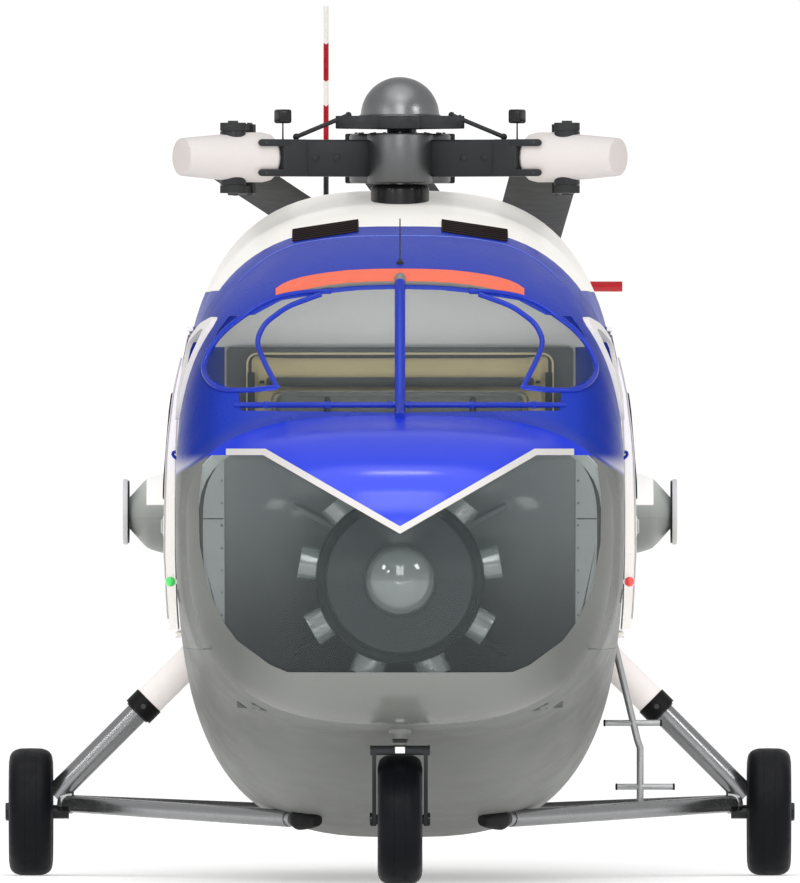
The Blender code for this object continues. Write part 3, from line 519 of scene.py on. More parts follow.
# nose: blue above the border and on the whole bulge over the trim
s = Shade("nose_paint", GREY, 0.3, Coat_Weight=0.0, Specular_IOR_Level=0.42)
# painted shade on the lower flanks and at the blue cheeks
flank(s).zone(border(s), BLUE).zone(cheek(s), SHADED_BLUE)
bulge = s.math("SUBTRACT", s.axis(2), s.math("MINIMUM", s.math("MULTIPLY_ADD", s.math("ABSOLUTE", s.axis(0)), 0.575, 1.735), 2.115))
s.zone(s.ramp(bulge, -0.004, 0.004), NOSE_BLUE)
s.tone(0.02).grime(GRIME, 0.03).gloss(0.17, 0.23).fading(0.50, 0.02, 0.42, 0.82)
s.relief(s.noise(180.0, 2.0), 0.00001)
nose_paint = s.made()

s = Shade("belly_paint", GREY, 0.40, Specular_IOR_Level=0.14)
# painted light: the grey is lighter towards the bottom; painted shade darkens the flanks
s.zone(s.ramp(s.axis(2), 0.90, 0.40, 0.0, 1.0), (0.215, 0.220, 0.210))
flank(s, 0.45, 0.80, 0.45, 0.85)
s.tone(0.02).grime(GRIME, 0.04, 1.2, None).gloss(0.36, 0.46)
s.relief(s.noise(180.0, 2.0), 0.00001)
s.seams(1, ROOF_FRONT + FRAME_Y, 1.30, 0.002, 0.0008, across=0)
belly_paint = s.made()

# roof white: its emission is a painted glow
s = Shade("roof_paint", (0.500, 0.488, 0.462), 0.36, Specular_IOR_Level=0.10, Emission_Color=(1.0, 0.975, 0.93, 1.0), Emission_Strength=0.38)
s.tone(0.010).grime((0.40, 0.385, 0.35), 0.06, 1.5, None).gloss(0.33, 0.42)
s.relief(s.noise(180.0, 2.0), 0.00001)
s.seams(1, 0.35 + FRAME_Y, 1.10, 0.002, 0.0008, across=0)
s.seam(0, 0.62, 0.002, 0.0008)
s.seam(0, -0.62, 0.002, 0.0008)
roof_paint = s.made()


def simple(name, colour, rough=0.4, tone=0.04, grime=0.0, relief=(120.0, 0.0001), gloss=0.25, **sockets):
    s = Shade(name, colour, rough, **sockets)
    s.tone(tone)
    if grime:
        s.grime(GRIME, grime)
    s.gloss(rough * (1 - gloss), min(1.0, rough * (1 + gloss)))
    if relief:
        s.relief(s.noise(relief[0], 3.0), relief[1])
    return s.made()


# the emission of these whites is a painted glow that brightens them
white_paint = simple("white_paint", WHITE, 0.36, 0.010, 0.02, Specular_IOR_Level=0.18, Emission_Color=(1.0, 0.975, 0.92, 1.0), Emission_Strength=0.12)
trim_white = simple("trim_paint", (0.44, 0.422, 0.410), 0.40, 0.010, 0.0, Specular_IOR_Level=0.08, Emission_Color=(1.0, 0.96, 0.94, 1.0), Emission_Strength=0.13)
window_white = simple("window_frame_paint", (0.60, 0.58, 0.57), 0.40, 0.010, 0.0, (120.0, 0.00003), Specular_IOR_Level=0.12, Emission_Color=(1.0, 0.97, 0.96, 1.0), Emission_Strength=0.10)
pink_white = simple("warm_white_paint", (0.575, 0.540, 0.525), 0.42, 0.012, 0.02, (120.0, 0.00003), Specular_IOR_Level=0.14, Emission_Color=(1.0, 0.93, 0.91, 1.0), Emission_Strength=0.05)
end_white = simple("cuff_end_paint", (0.53, 0.485, 0.47), 0.45, 0.012, 0.02, (120.0, 0.00003), Specular_IOR_Level=0.14, Emission_Color=(1.0, 0.93, 0.91, 1.0), Emission_Strength=0.05)
cream_paint = simple("cream_paint", CREAM, 0.35, 0.02, 0.04, Coat_Weight=0.12, Coat_Roughness=0.1)
blue_paint = simple("blue_paint", (0.009, 0.028, 0.34), 0.20, 0.02, Specular_IOR_Level=0.22)
# pale blue of the seam bead: a painted highlight along the seam
pale_blue = simple("pale_blue_paint", (0.10, 0.14, 0.50), 0.3, 0.02, Specular_IOR_Level=0.3)
grey_paint = simple("grey_paint", GREY, 0.38, 0.03, 0.04, (120.0, 0.00003), Specular_IOR_Level=0.25)
dark_metal = simple("dark_metal", (0.022, 0.023, 0.025), 0.46, 0.08, 0.0, (90.0, 0.00008), Specular_IOR_Level=0.28)
rotor_grey = simple("rotor_grey", (0.020, 0.021, 0.023), 0.44, 0.05, 0.0, (90.0, 0.00008), Specular_IOR_Level=0.24)
blade_paint = simple("blade_paint", (0.036, 0.037, 0.037), 0.62, 0.03, 0.0, (70.0, 0.00001), 0.06, Specular_IOR_Level=0.06)
drum_metal = simple("drum_metal", (0.125, 0.127, 0.131), 0.36, 0.04, 0.0, (90.0, 0.00008), Metallic=0.85)
dome_metal = simple("dome_metal", (0.20, 0.203, 0.207), 0.34, 0.03, 0.0, (60.0, 0.00006), Metallic=0.9)
black_gloss = simple("black_gloss", (0.005, 0.005, 0.006), 0.26, 0.05, Specular_IOR_Level=0.30, Coat_Weight=0.15, Coat_Roughness=0.08)
black_rubber = simple("black_rubber", (0.009, 0.009, 0.010), 0.60, 0.08, 0.0, (60.0, 0.0002), Specular_IOR_Level=0.2)
vent_brown = simple("vent_brown", (0.022, 0.015, 0.015), 0.6, 0.08, Specular_IOR_Level=0.08)
# polished spinner: its emission is a painted reflection, brighter on the lower half as if a pale floor were mirrored
# there
s = Shade("polished_metal", (0.50, 0.54, 0.54), 0.09, Metallic=0.62, Emission_Color=(0.90, 1.0, 1.0, 1.0))
s.put(s.bsdf.inputs["Emission Strength"], s.ramp(s.axis(2), 1.496, 1.506, 0.085, 0.030))
s.tone(0.02).gloss(0.07, 0.10).relief(s.noise(30.0, 2.0), 0.00001)
chrome = s.made()
# the cylinders' small emission is a painted glow
engine_metal = simple("barrel_metal", (0.56, 0.61, 0.60), 0.24, 0.03, 0.0, (60.0, 0.00001), Metallic=0.80, Emission_Color=(0.9, 1.0, 1.0, 1.0), Emission_Strength=0.025)
engine_case = simple("engine_case", (0.088, 0.102, 0.104), 0.60, 0.03, 0.0, (70.0, 0.00001), Specular_IOR_Level=0.2)
engine_dark = simple("engine_dark", (0.040, 0.049, 0.050), 0.60, 0.03, 0.0, (70.0, 0.00001), Specular_IOR_Level=0.2)
bolt_metal = simple("bolt_metal", (0.30, 0.30, 0.31), 0.34, 0.10, 0.0, None, Metallic=1.0)
dark_bolt = simple("dark_bolt", (0.07, 0.07, 0.075), 0.40, 0.10, 0.0, None, Metallic=0.8)
green_lens = simple("green_lens", (0.06, 0.62, 0.12), 0.15, 0.05, 0.0, None, Emission_Color=(0.10, 0.85, 0.16, 1.0), Emission_Strength=0.35, Coat_Weight=0.5)
red_lens = simple("red_lens", (0.72, 0.06, 0.06), 0.15, 0.05, 0.0, None, Emission_Color=(0.95, 0.10, 0.09, 1.0), Emission_Strength=0.35, Coat_Weight=0.5)
lamp_lens = simple("lamp_lens", (0.75, 0.77, 0.78), 0.10, 0.03, 0.0, None, Coat_Weight=0.5)

# sliding doors: warm white with a riveted edge and two swage seams, and a painted glow that is stronger along the front
# edge
s = Shade("door_paint", (0.82, 0.795, 0.765), 0.38, Specular_IOR_Level=0.15, Emission_Color=(1.0, 0.96, 0.94, 1.0))
s.put(s.bsdf.inputs["Emission Strength"], s.ramp(s.axis(1), -0.685 + FRAME_Y, -0.698 + FRAME_Y, 0.10, 0.26))
s.tone(0.010).grime(GRIME, 0.02).gloss(0.34, 0.44).relief(s.noise(150.0, 2.0), 0.00001)
s.seam(2, 1.62, 0.003, 0.0012)
s.seams(1, -0.70 + 0.06 + FRAME_Y, 1.08, 0.002, 0.0006, across=2)
door_paint = s.made()

# side pods: grey, a lighter fairing on the inner upper part, a joint along the side; the fairing and the disc carry a
# painted glow
s = Shade("pod_paint", (0.25, 0.264, 0.246), 0.36, Specular_IOR_Level=0.22, Emission_Color=(1.0, 0.99, 0.95, 1.0))
side = s.math("ABSOLUTE", s.axis(0))
patch_mask = s.math("MULTIPLY", s.ramp(side, 1.285, 1.279), s.ramp(s.axis(2), 1.858, 1.866))
disc_mask = s.ramp(side, 1.3782, 1.3790)
s.put(s.bsdf.inputs["Emission Strength"], s.math("ADD", s.math("MULTIPLY", patch_mask, 0.30), s.math("MULTIPLY", disc_mask, 0.05)))
s.zone(s.ramp(s.axis(2), 1.74, 2.02, 0.0, 0.60), (0.66, 0.70, 0.66))
s.zone(patch_mask, (0.74, 0.73, 0.69))
s.zone(disc_mask, (0.62, 0.62, 0.61)).zone(
    s.math("MULTIPLY", s.ramp(side, 1.3700, 1.3706), s.ramp(side, 1.3790, 1.3782)), (0.006, 0.006, 0.007))
s.tone(0.02).gloss(0.32, 0.42).seam(2, 1.7925, 0.0035, 0.0015).relief(s.noise(160.0, 2.0), 0.00001)
pod_paint = s.made()

# tail rotor: red and white bands, dark roots, by distance from its hub
s = Shade("tail_rotor_paint", (0.40, 0.003, 0.010), 0.6, Specular_IOR_Level=0.02)
dy = s.math("SUBTRACT", s.axis(1), 9.46 + FRAME_Y)
dz = s.math("SUBTRACT", s.axis(2), 3.15)
reach = s.math("SQRT", s.math("ADD", s.math("MULTIPLY", dy, dy), s.math("MULTIPLY", dz, dz)))
s.zone(s.ramp(reach, 1.1335, 1.1355), WHITE)
s.zone(s.math("MULTIPLY", s.ramp(reach, 0.809, 0.811), s.ramp(reach, 0.940, 0.938)), WHITE)
s.zone(s.ramp(reach, 0.502, 0.498), (0.012, 0.012, 0.013))
s.tone(0.03).gloss(0.55, 0.68).relief(s.noise(120.0, 3.0), 0.00001)
tail_rotor_paint = s.made()

# pylon: white, the stabiliser's outer half red, a blue fin tip
s = Shade("pylon_paint", WHITE, 0.5, Specular_IOR_Level=0.05)
s.zone(s.ramp(s.axis(2), 2.290, 2.294, 1.0, 0.0), BLUE)
s.zone(s.ramp(s.axis(0), 0.798, 0.802), (0.46, 0.006, 0.012))
s.tone(0.015).grime(GRIME, 0.03).gloss(0.44, 0.56).relief(s.noise(150.0, 2.0), 0.00001)
s.seams(2, 2.30, 0.42, 0.002, 0.0008, across=1)
pylon_paint = s.made()

s = Shade("bright_steel", (0.46, 0.465, 0.47), 0.34, Metallic=0.8)
s.tone(0.05, 2.0, 60.0).grime((0.16, 0.15, 0.13), 0.12, 5.0, None, 0.5, 0.8).gloss(0.28, 0.40, 14.0)
s.relief(s.noise(220.0, 3.0, 0.5, (1, 1, 1)), 0.00003)
bright_steel = s.made()

# main legs: bright tubes, with the sleeve, knuckle, axle and belly fitting black by where they are
s = Shade("leg_metal", (0.300, 0.302, 0.308), 0.24)
side = s.math("ABSOLUTE", s.axis(0))
fitting = s.math("MULTIPLY", s.ramp(side, 0.570, 0.562), s.ramp(s.axis(1), -0.796 + FRAME_Y, -0.800 + FRAME_Y))
axle = s.ramp(side, 1.664, 1.666)
low = s.ramp(s.axis(2), 0.352, 0.346)
black_part = s.math("MAXIMUM", fitting, s.math("MULTIPLY", axle, low))
s.tone(0.02, 2.0, 30.0).grime((0.16, 0.15, 0.13), 0.05, 5.0, None, 0.5, 0.8)
s.zone(black_part, (0.008, 0.008, 0.009))
s.put(s.bsdf.inputs["Metallic"], s.math("MULTIPLY", s.math("SUBTRACT", 1.0, black_part), 0.90))
s.rough_zone(black_part, 0.42, 0.24)
s.relief(s.noise(220.0, 2.0), 0.000005)
leg_metal = s.made()

# oleo cylinder: white with a painted glow, black collar at its lower end (measured along the leg, from its top)
s = Shade("oleo_paint", (0.74, 0.695, 0.675), 0.42, Specular_IOR_Level=0.18, Emission_Color=(1.0, 0.94, 0.92, 1.0))
along = s.math("MULTIPLY", s.math("SUBTRACT", s.math("ABSOLUTE", s.axis(0)), s.axis(2)), 0.70711)
collar = s.ramp(along, (1.29 - 0.85) * 0.70711 - 0.0425, (1.29 - 0.85) * 0.70711 - 0.0405)
s.tone(0.03).grime(GRIME, 0.10, 5.0, None)
s.zone(collar, (0.004, 0.004, 0.004)).rough_zone(collar, 0.42, 0.40)
s.put(s.bsdf.inputs["Emission Strength"], s.math("MULTIPLY", s.math("SUBTRACT", 1.0, collar), 0.27))
s.relief(s.noise(150.0, 2.0), 0.00003)
oleo_paint = s.made()

# glass: the smoked panel and the clear panes
s = Shade("smoked_panel", (0.028, 0.035, 0.037), 0.10, Alpha=0.28, Specular_IOR_Level=0.32)
s.tone(0.04, 0.8, 12.0).relief(s.noise(2.2, 2.0), 0.0006)
smoked_panel = s.made()
s = Shade("clear_pane", (0.20, 0.23, 0.23), 0.05, Alpha=0.045, Coat_Weight=0.3, Coat_Roughness=0.02, Specular_IOR_Level=0.6)
s.tone(0.04, 0.8, 12.0).relief(s.noise(1.6, 2.0), 0.0006)
clear_pane = s.made()
s = Shade("brow_tint", (0.74, 0.125, 0.062), 0.30, Coat_Weight=0.15, Coat_Roughness=0.08, Specular_IOR_Level=0.4)
s.tone(0.04, 2.0, 30.0).relief(s.noise(90.0, 2.0), 0.0001)
brow_tint = s.made()

# tyre rubber, with grime at the tread
s = Shade("tyre_rubber", (0.0032, 0.0035, 0.0055), 0.46, Specular_IOR_Level=0.13)
s.tone(0.08, 6.0, 60.0).grime((0.012, 0.0115, 0.011), 0.20, 8.0, None, 0.5, 0.8).gloss(0.40, 0.54, 20.0)
s.relief(s.noise(260.0, 4.0), 0.00012)
tyre_rubber = s.made()

# interior
s = Shade("lining", (0.60, 0.615, 0.60), 0.78, Specular_IOR_Level=0.15)
s.zone(s.math("MULTIPLY", s.ramp(s.math("ABSOLUTE", s.axis(0)), 0.868, 0.872), s.ramp(s.axis(2), 2.655, 2.648)), (0.045, 0.075, 0.30))
s.tone(0.02).gloss(0.70, 0.85).relief(s.cells(160.0), 0.0003)
lining = s.made()
s = Shade("panel_dark", (0.130, 0.140, 0.144), 0.75, Specular_IOR_Level=0.15)
s.tone(0.03).gloss(0.65, 0.8).relief(s.noise(140.0, 3.0), 0.0002)
panel_dark = s.made()
# bay interior and side panels: their emission is a painted glow that lifts the shaded bay
s = Shade("bay_grey", (0.56, 0.62, 0.61), 0.6, Specular_IOR_Level=0.15, Emission_Color=(0.93, 1.0, 0.99, 1.0), Emission_Strength=0.10)
s.tone(0.02).gloss(0.55, 0.7).relief(s.noise(120.0, 3.0), 0.00002)
bay_grey = s.made()
s = Shade("side_panel_paint", (0.42, 0.465, 0.455), 0.6, Specular_IOR_Level=0.12, Emission_Color=(0.93, 1.0, 0.99, 1.0), Emission_Strength=0.12)
s.tone(0.02).gloss(0.55, 0.7).relief(s.noise(120.0, 3.0), 0.00001)
side_panel = s.made()
# firewall panel: painted light, dark at the bottom and lighter towards the top, with a faint painted glow
s = Shade("bay_panel", (0.050, 0.056, 0.059), 0.65, Specular_IOR_Level=0.08, Emission_Color=(0.95, 1.0, 1.0, 1.0), Emission_Strength=0.012)
s.zone(s.ramp(s.axis(2), 1.10, 2.12), (0.33, 0.36, 0.365))
s.tone(0.03).gloss(0.6, 0.72).relief(s.noise(120.0, 3.0), 0.00001)
bay_panel = s.made()
s = Shade("floor_metal", (0.20, 0.205, 0.20), 0.5, Metallic=0.2)
s.tone(0.08).grime(GRIME, 0.35, 3.0, None).gloss(0.4, 0.65)
s.relief(s.cells(26.0, stretch=(1.0, 0.5, 1.0)), 0.0008)
floor_metal = s.made()


def weave(name, colour, scale=420.0, depth=0.0006, fuzz=0.35):
    """Woven cloth: threads across each other, on every side of the cushion."""
    s = Shade(name, colour, 0.9, Sheen_Weight=fuzz, Sheen_Roughness=0.5)
    a = s.math("SINE", s.math("MULTIPLY", s.axis(0), scale))
    b = s.math("SINE", s.math("MULTIPLY", s.math("ADD", s.axis(1), s.axis(2)), scale))
    threads = s.math("MULTIPLY_ADD", s.math("MULTIPLY", a, b), 0.5, 0.5)
    s.tone(0.07, 3.0, 50.0)
    s.zone(s.ramp(threads, 0.2, 0.9, 0.25, 0.0), tuple(c * 0.55 for c in colour))
    s.gloss(0.82, 0.96, 20.0).relief(threads, depth).relief(s.noise(16.0, 4.0), 0.002)
    return s.made()


beige_cloth = weave("beige_cloth", (0.60, 0.52, 0.29))
beige_piping = weave("beige_piping", (0.66, 0.58, 0.36))
dark_cloth = weave("dark_cloth", (0.066, 0.075, 0.068))


# ---------------------------------------------------------------- mesh builders
def frame_from(direction):
    d = Vector(direction).normalized()
    side = d.cross(Vector((0, 0, 1)))
    if side.length < 1e-4:
        side = Vector((1, 0, 0))
    side.normalize()
    return d, side, d.cross(side).normalized()


class Piece:
    """A visible piece put together from closed forms, written from the mast."""

    def __init__(self, name, body="fuselage"):
        self.name, self.body = name, body
        self.bm = bmesh.new()
        self.mats = []

    def add(self, verts, faces, mat, bevel=0.0, segments=2, matrix=None, cap=True):
        tmp = bmesh.new()
        vs = [tmp.verts.new(v) for v in verts]
        for f in faces:
            tmp.faces.new([vs[i] for i in f])
        bmesh.ops.recalc_face_normals(tmp, faces=tmp.faces)
        if bevel:
            edges = [e for e in tmp.edges if len(e.link_faces) == 2 and e.calc_face_angle() > 0.6]
            bmesh.ops.bevel(tmp, geom=edges, offset=bevel, segments=segments, profile=0.5, affect="EDGES", clamp_overlap=True)
        if matrix is not None:
            tmp.transform(matrix)
        if mat not in self.mats:
            self.mats.append(mat)
        for f in tmp.faces:
            f.material_index = self.mats.index(mat)
            f.smooth = True
        mesh = bpy.data.meshes.new("part")
        tmp.to_mesh(mesh)
        tmp.free()
        self.bm.from_mesh(mesh)
        bpy.data.meshes.remove(mesh)
        return self

    def rings(self, rings, mat, closed=False, **k):
        n = len(rings[0])
        verts = [p for r in rings for p in r]
        faces = []
        last = len(rings)
        for i in range(last if closed else last - 1):
            for j in range(n):
                m, q = (j + 1) % n, (i + 1) % last
                faces.append((i * n + j, i * n + m, q * n + m, q * n + j))
        if not closed:
            faces.append(tuple(range(n)))
            faces.append(tuple((last - 1) * n + j for j in reversed(range(n))))
        return self.add(verts, faces, mat, **k)

    def prism(self, outline, low, high, axis, mat, **k):
        def at(u, v, w):
            return {"y": (u, w, v), "x": (w, u, v), "z": (u, v, w)}[axis]
        return self.rings([[at(u, v, low) for u, v in outline], [at(u, v, high) for u, v in outline]], mat, **k)

    def box(self, x0, x1, y0, y1, z0, z1, mat, bevel=0.003, **k):
        return self.prism([(x0, z0), (x1, z0), (x1, z1), (x0, z1)], y0, y1, "y", mat, bevel=bevel, **k)

    def tube(self, path, radius, mat, sides=14, closed=False, flat=1.0, **k):
        path = [Vector(p) for p in path]
        n = len(path)
        radii = radius if isinstance(radius, (list, tuple)) else [radius] * n
        _, side, up = frame_from(path[1] - path[0])
        rings = []
        for i, p in enumerate(path):
            if closed:
                before, after = (p - path[i - 1]).normalized(), (path[(i + 1) % n] - p).normalized()
            else:
                before = (p - path[i - 1]).normalized() if i else (path[1] - p).normalized()
                after = (path[i + 1] - p).normalized() if i < n - 1 else before
            along = (before + after).normalized()
            side = (side - along * side.dot(along)).normalized()
            up = along.cross(side).normalized()
            rings.append([p + side * (math.cos(2 * math.pi * j / sides) * radii[i])
                          + up * (math.sin(2 * math.pi * j / sides) * radii[i] * flat) for j in range(sides)])
        return self.rings(rings, mat, closed=closed, **k)

    def lathe(self, profile, origin, axis, mat, sides=48, **k):
        d, side, up = frame_from(axis)
        origin = Vector(origin)
        verts, rows = [], []
        for r, h in profile:
            if r < 1e-6:
                rows.append([len(verts)])
                verts.append(origin + d * h)
            else:
                rows.append(list(range(len(verts), len(verts) + sides)))
                verts += [origin + d * h + side * (r * math.cos(2 * math.pi * j / sides))
                          + up * (r * math.sin(2 * math.pi * j / sides)) for j in range(sides)]
        faces = []
        pairs = list(zip(rows, rows[1:]))
        if len(rows[0]) > 1 and len(rows[-1]) > 1:
            pairs.append((rows[-1], rows[0]))
        for a, b in pairs:
            for j in range(sides):
                m = (j + 1) % sides
                if len(a) == 1:
                    faces.append((a[0], b[j], b[m]))
                elif len(b) == 1:
                    faces.append((a[j], b[0], a[m]))
                else:
                    faces.append((a[j], b[j], b[m], a[m]))
        return self.add(verts, faces, mat, **k)

    def bolt(self, at, axis, radius, height, mat=None, sides=6):
        """A hexagon head with a chamfer on a washer."""
        mat = mat or bolt_metal
        self.lathe([(0, 0), (radius * 1.35, 0), (radius * 1.35, height * 0.25), (0, height * 0.25)], at, axis, mat, 14)
        self.lathe([(0, height * 0.25), (radius, height * 0.25), (radius, height * 0.85), (radius * 0.85, height), (0, height)],
                   at, axis, mat, sides)
        return self

    def sheet(self, grid, thick, mat, **k):
        """A patch of points given in rows, thickened inwards along thick(row, column)."""
        rows, cols = len(grid), len(grid[0])
        verts = [Vector(p) for row in grid for p in row]
        back = [Vector(grid[i][j]) - Vector(thick(i, j)) for i in range(rows) for j in range(cols)]
        n = rows * cols
        faces = []
        for i in range(rows - 1):
            for j in range(cols - 1):
                a, b, c, d = i * cols + j, i * cols + j + 1, (i + 1) * cols + j + 1, (i + 1) * cols + j
                faces += [(a, b, c, d), (n + a, n + d, n + c, n + b)]
        edge = ([(0, j) for j in range(cols)] + [(i, cols - 1) for i in range(1, rows)]
                + [(rows - 1, j) for j in range(cols - 2, -1, -1)] + [(i, 0) for i in range(rows - 2, 0, -1)])
        for e, (i, j) in enumerate(edge):
            p, q = edge[(e + 1) % len(edge)]
            faces.append((i * cols + j, n + i * cols + j, n + p * cols + q, p * cols + q))
        return self.add(verts + back, faces, mat, **k)

    def done(self, angle=32.0, replaces=()):
        mesh = bpy.data.meshes.new(self.name)
        self.bm.transform(SHIFT)
        self.bm.to_mesh(mesh)
        self.bm.free()
        for mat in self.mats:
            mesh.materials.append(mat)
        mesh.set_sharp_from_angle(angle=math.radians(angle))
        obj = bpy.data.objects.new(self.name, mesh)
        bpy.context.scene.collection.objects.link(obj)
        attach(obj, self.body)
        if replaces:
            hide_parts(*replaces)
        return obj


# ---------------------------------------------------------------- smooth skins cut like the CAD's
def solid(rings):
    n = len(rings[0])
    faces = []
    for i in range(len(rings) - 1):
        for j in range(n):
            m = (j + 1) % n
            faces.append((i * n + j, i * n + m, (i + 1) * n + m, (i + 1) * n + j))
    faces.append(tuple(range(n)))
    faces.append(tuple((len(rings) - 1) * n + j for j in reversed(range(n))))
    mesh = bpy.data.meshes.new("solid")
    mesh.from_pydata([tuple(p) for r in rings for p in r], [], faces)
    bm = bmesh.new()
    bm.from_mesh(mesh)
    bmesh.ops.recalc_face_normals(bm, faces=bm.faces)
    bm.to_mesh(mesh)
    bm.free()
    obj = bpy.data.objects.new("solid", mesh)
    bpy.context.scene.collection.objects.link(obj)
    return obj


def loft(y0, y1, inset=0.0, n=96, step=0.08):
    start = max(y0, NOSE_TIP + inset)
    ys = [start]
    y = start
    while y < y1 - 1e-6:
        # closer rings on the round nose
        y += min(step, max(0.004, 0.004 + 0.35 * (y - NOSE_TIP))) if y < -3.2 else step
        ys.append(min(y, y1))
    if len(ys) > 2 and ys[-1] - ys[-2] < 0.2 * step:
        ys.pop(-2)
    rings = []
    for y in ys:
        top, bottom, wide, mid, power = section(y, inset)
        ring = []
        for k in range(n):
            a = 2 * math.pi * (k + 0.5) / n
            c, v = math.cos(a), math.sin(a)
            half = top - mid if v > 0 else mid - bottom
            ring.append((wide * math.copysign(abs(c) ** (2 / power), c), y, mid + half * math.copysign(abs(v) ** (2 / power), v)))
        rings.append(ring)
    return solid(rings)


def block(outline, low, high, axis="y"):
    def at(u, v, w):
        return {"y": (u, w, v), "x": (w, u, v), "z": (u, v, w)}[axis]
    return solid([[at(u, v, low) for u, v in outline], [at(u, v, high) for u, v in outline]])


def brick(x0, x1, y0, y1, z0, z1):
    return block([(x0, z0), (x1, z0), (x1, z1), (x0, z1)], y0, y1)


def combine(target, other, operation, keep=False):
    mod = target.modifiers.new("combine", "BOOLEAN")
    mod.solver = "EXACT"
    mod.operation = operation
    mod.object = other
    graph = bpy.context.evaluated_depsgraph_get()
    graph.update()
    mesh = bpy.data.meshes.new_from_object(target.evaluated_get(graph))
    target.modifiers.clear()
    target.data = mesh
    if not keep:
        bpy.data.objects.remove(other, do_unlink=True)
    return target


def twin(obj):
    other = obj.copy()
    other.data = obj.data.copy()
    bpy.context.scene.collection.objects.link(other)
    return other


def skin(obj, name, mat, replaces=(), inner=None, body="fuselage", edge=-0.3):
    """Names the cut skin, gives it the true surface's normals and moves it into the shared frame."""
    mesh = obj.data
    obj.name = mesh.name = name
    mesh.materials.clear()
    mesh.materials.append(mat)
    if inner is not None:
        mesh.materials.append(inner)
    cache = {}
    normals = []
    for poly in mesh.polygons:
        poly.use_smooth = True
        poly.material_index = 0
        c = poly.center
        if inner is not None and poly.normal.dot(skin_normal(*c)) < edge:
            poly.material_index = 1
        for k in poly.loop_indices:
            v = mesh.loops[k].vertex_index
            if v not in cache:
                cache[v] = skin_normal(*mesh.vertices[v].co)
            n = cache[v]
            turn = poly.normal.dot(n)
            normals.append(n if turn > 0.88 else (-n if turn < -0.88 else poly.normal.copy()))
    mesh.normals_split_custom_set(normals)
    mesh.transform(SHIFT)
    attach(obj, body)
    if replaces:
        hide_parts(*replaces)
    return obj


SIDE_WINDOW = [(y, z - 0.09 * (y + 1.88) / 0.61 * max(0.0, (z - 2.34) / 0.415)) for y, z in rounded(-1.88, -1.27, 2.34, 2.755, 0.07, 8)]
DOOR_OPENING = rounded(-0.65, 0.45, 1.265, 2.655, 0.08)
LAP = 0.0005               # half the width of a panel joint

# nose
shell = loft(NOSE_TIP, NOSE_SPLIT - LAP)
combine(shell, loft(NOSE_TIP + WALL, NOSE_SPLIT + 0.02, WALL, 48, 0.1), "DIFFERENCE")
combine(shell, block(mirrored(NOSE_WINDOW), NOSE_TIP - 0.1, -2.90), "DIFFERENCE")
skin(shell, "nose_skin", nose_paint, ("nose_shell",), bay_grey, edge=0.5)

pane = loft(NOSE_TIP + 0.0015, -2.896, 0.0015)
combine(pane, loft(NOSE_TIP + 0.0065, -2.87, 0.0065), "DIFFERENCE")
combine(pane, block(shrink(mirrored(NOSE_WINDOW), 0.0006), NOSE_TIP - 0.1, -2.9006), "INTERSECT")
skin(pane, "nose_window", smoked_panel, ("nose_glass",))

band = loft(NOSE_TIP - 0.012, -2.80, -0.012)
combine(band, loft(NOSE_TIP - 0.0004, -2.78, -0.0004), "DIFFERENCE")
combine(band, block(mirrored(NOSE_TRIM), NOSE_TIP - 0.1, -2.875), "INTERSECT")
skin(band, "nose_window_trim", trim_white, ("nose_trim",))

# cockpit, cabin, belly and roof
cavity = (NOSE_SPLIT + WALL, CABIN_END - WALL)
shell = loft(NOSE_SPLIT + LAP, CABIN_END - LAP, n=108)
combine(shell, loft(cavity[0], cavity[1], WALL, 60, 0.16), "DIFFERENCE")
combine(shell, block(mirrored(WINDSCREEN), NOSE_SPLIT - 0.2, -1.95), "DIFFERENCE")
combine(shell, block(SIDE_WINDOW, -1.4, 1.4, "x"), "DIFFERENCE")
combine(shell, block(DOOR_OPENING, -1.4, 1.4, "x"), "DIFFERENCE")
roof = combine(twin(shell), brick(-1.3, 1.3, ROOF_FRONT + LAP, CABIN_END + 0.1, ROOF_EDGE_Z + LAP, 3.8), "INTERSECT")
skin(roof, "roof_skin", roof_paint, ("roof_panel",), lining)
combine(shell, brick(-1.3, 1.3, ROOF_FRONT - LAP, CABIN_END + 0.1, ROOF_EDGE_Z - LAP, 3.8), "DIFFERENCE")
belly = combine(twin(shell), brick(-1.3, 1.3, -3.0, CABIN_END + 0.1, 0.0, FLOOR_Z - LAP), "INTERSECT")
skin(belly, "belly_skin", belly_paint, ("belly_shell",), lining)
combine(shell, brick(-1.3, 1.3, -3.0, CABIN_END + 0.1, 0.0, FLOOR_Z + LAP), "DIFFERENCE")
front = combine(twin(shell), brick(-1.3, 1.3, -3.0, ROOF_FRONT - LAP, 1.0, 3.8), "INTERSECT")
skin(front, "cockpit_skin", cockpit_paint, ("cockpit_shell",), lining)
combine(shell, brick(-1.3, 1.3, -3.0, ROOF_FRONT + LAP, 1.0, 3.8), "DIFFERENCE")
skin(shell, "cabin_skin", fuselage_paint, ("cabin_shell",), lining)

pane = loft(-2.855, -1.93, 0.036, 96, 0.06)
combine(pane, loft(-2.875, -1.91, 0.041, 96, 0.06), "DIFFERENCE")
combine(pane, block(shrink(mirrored(WINDSCREEN), 0.0008), -2.84, -1.955), "INTERSECT")
skin(pane, "windscreen", clear_pane, ("windscreen_glass",))

cone = loft(CABIN_END + LAP, CONE_END, n=84, step=0.15)
combine(cone, loft(CABIN_END - 0.02, CONE_END - 0.20, TAIL_WALL, 36, 0.6), "DIFFERENCE")
skin(cone, "tail_skin", tail_paint, ("tail_cone",), dark_metal)

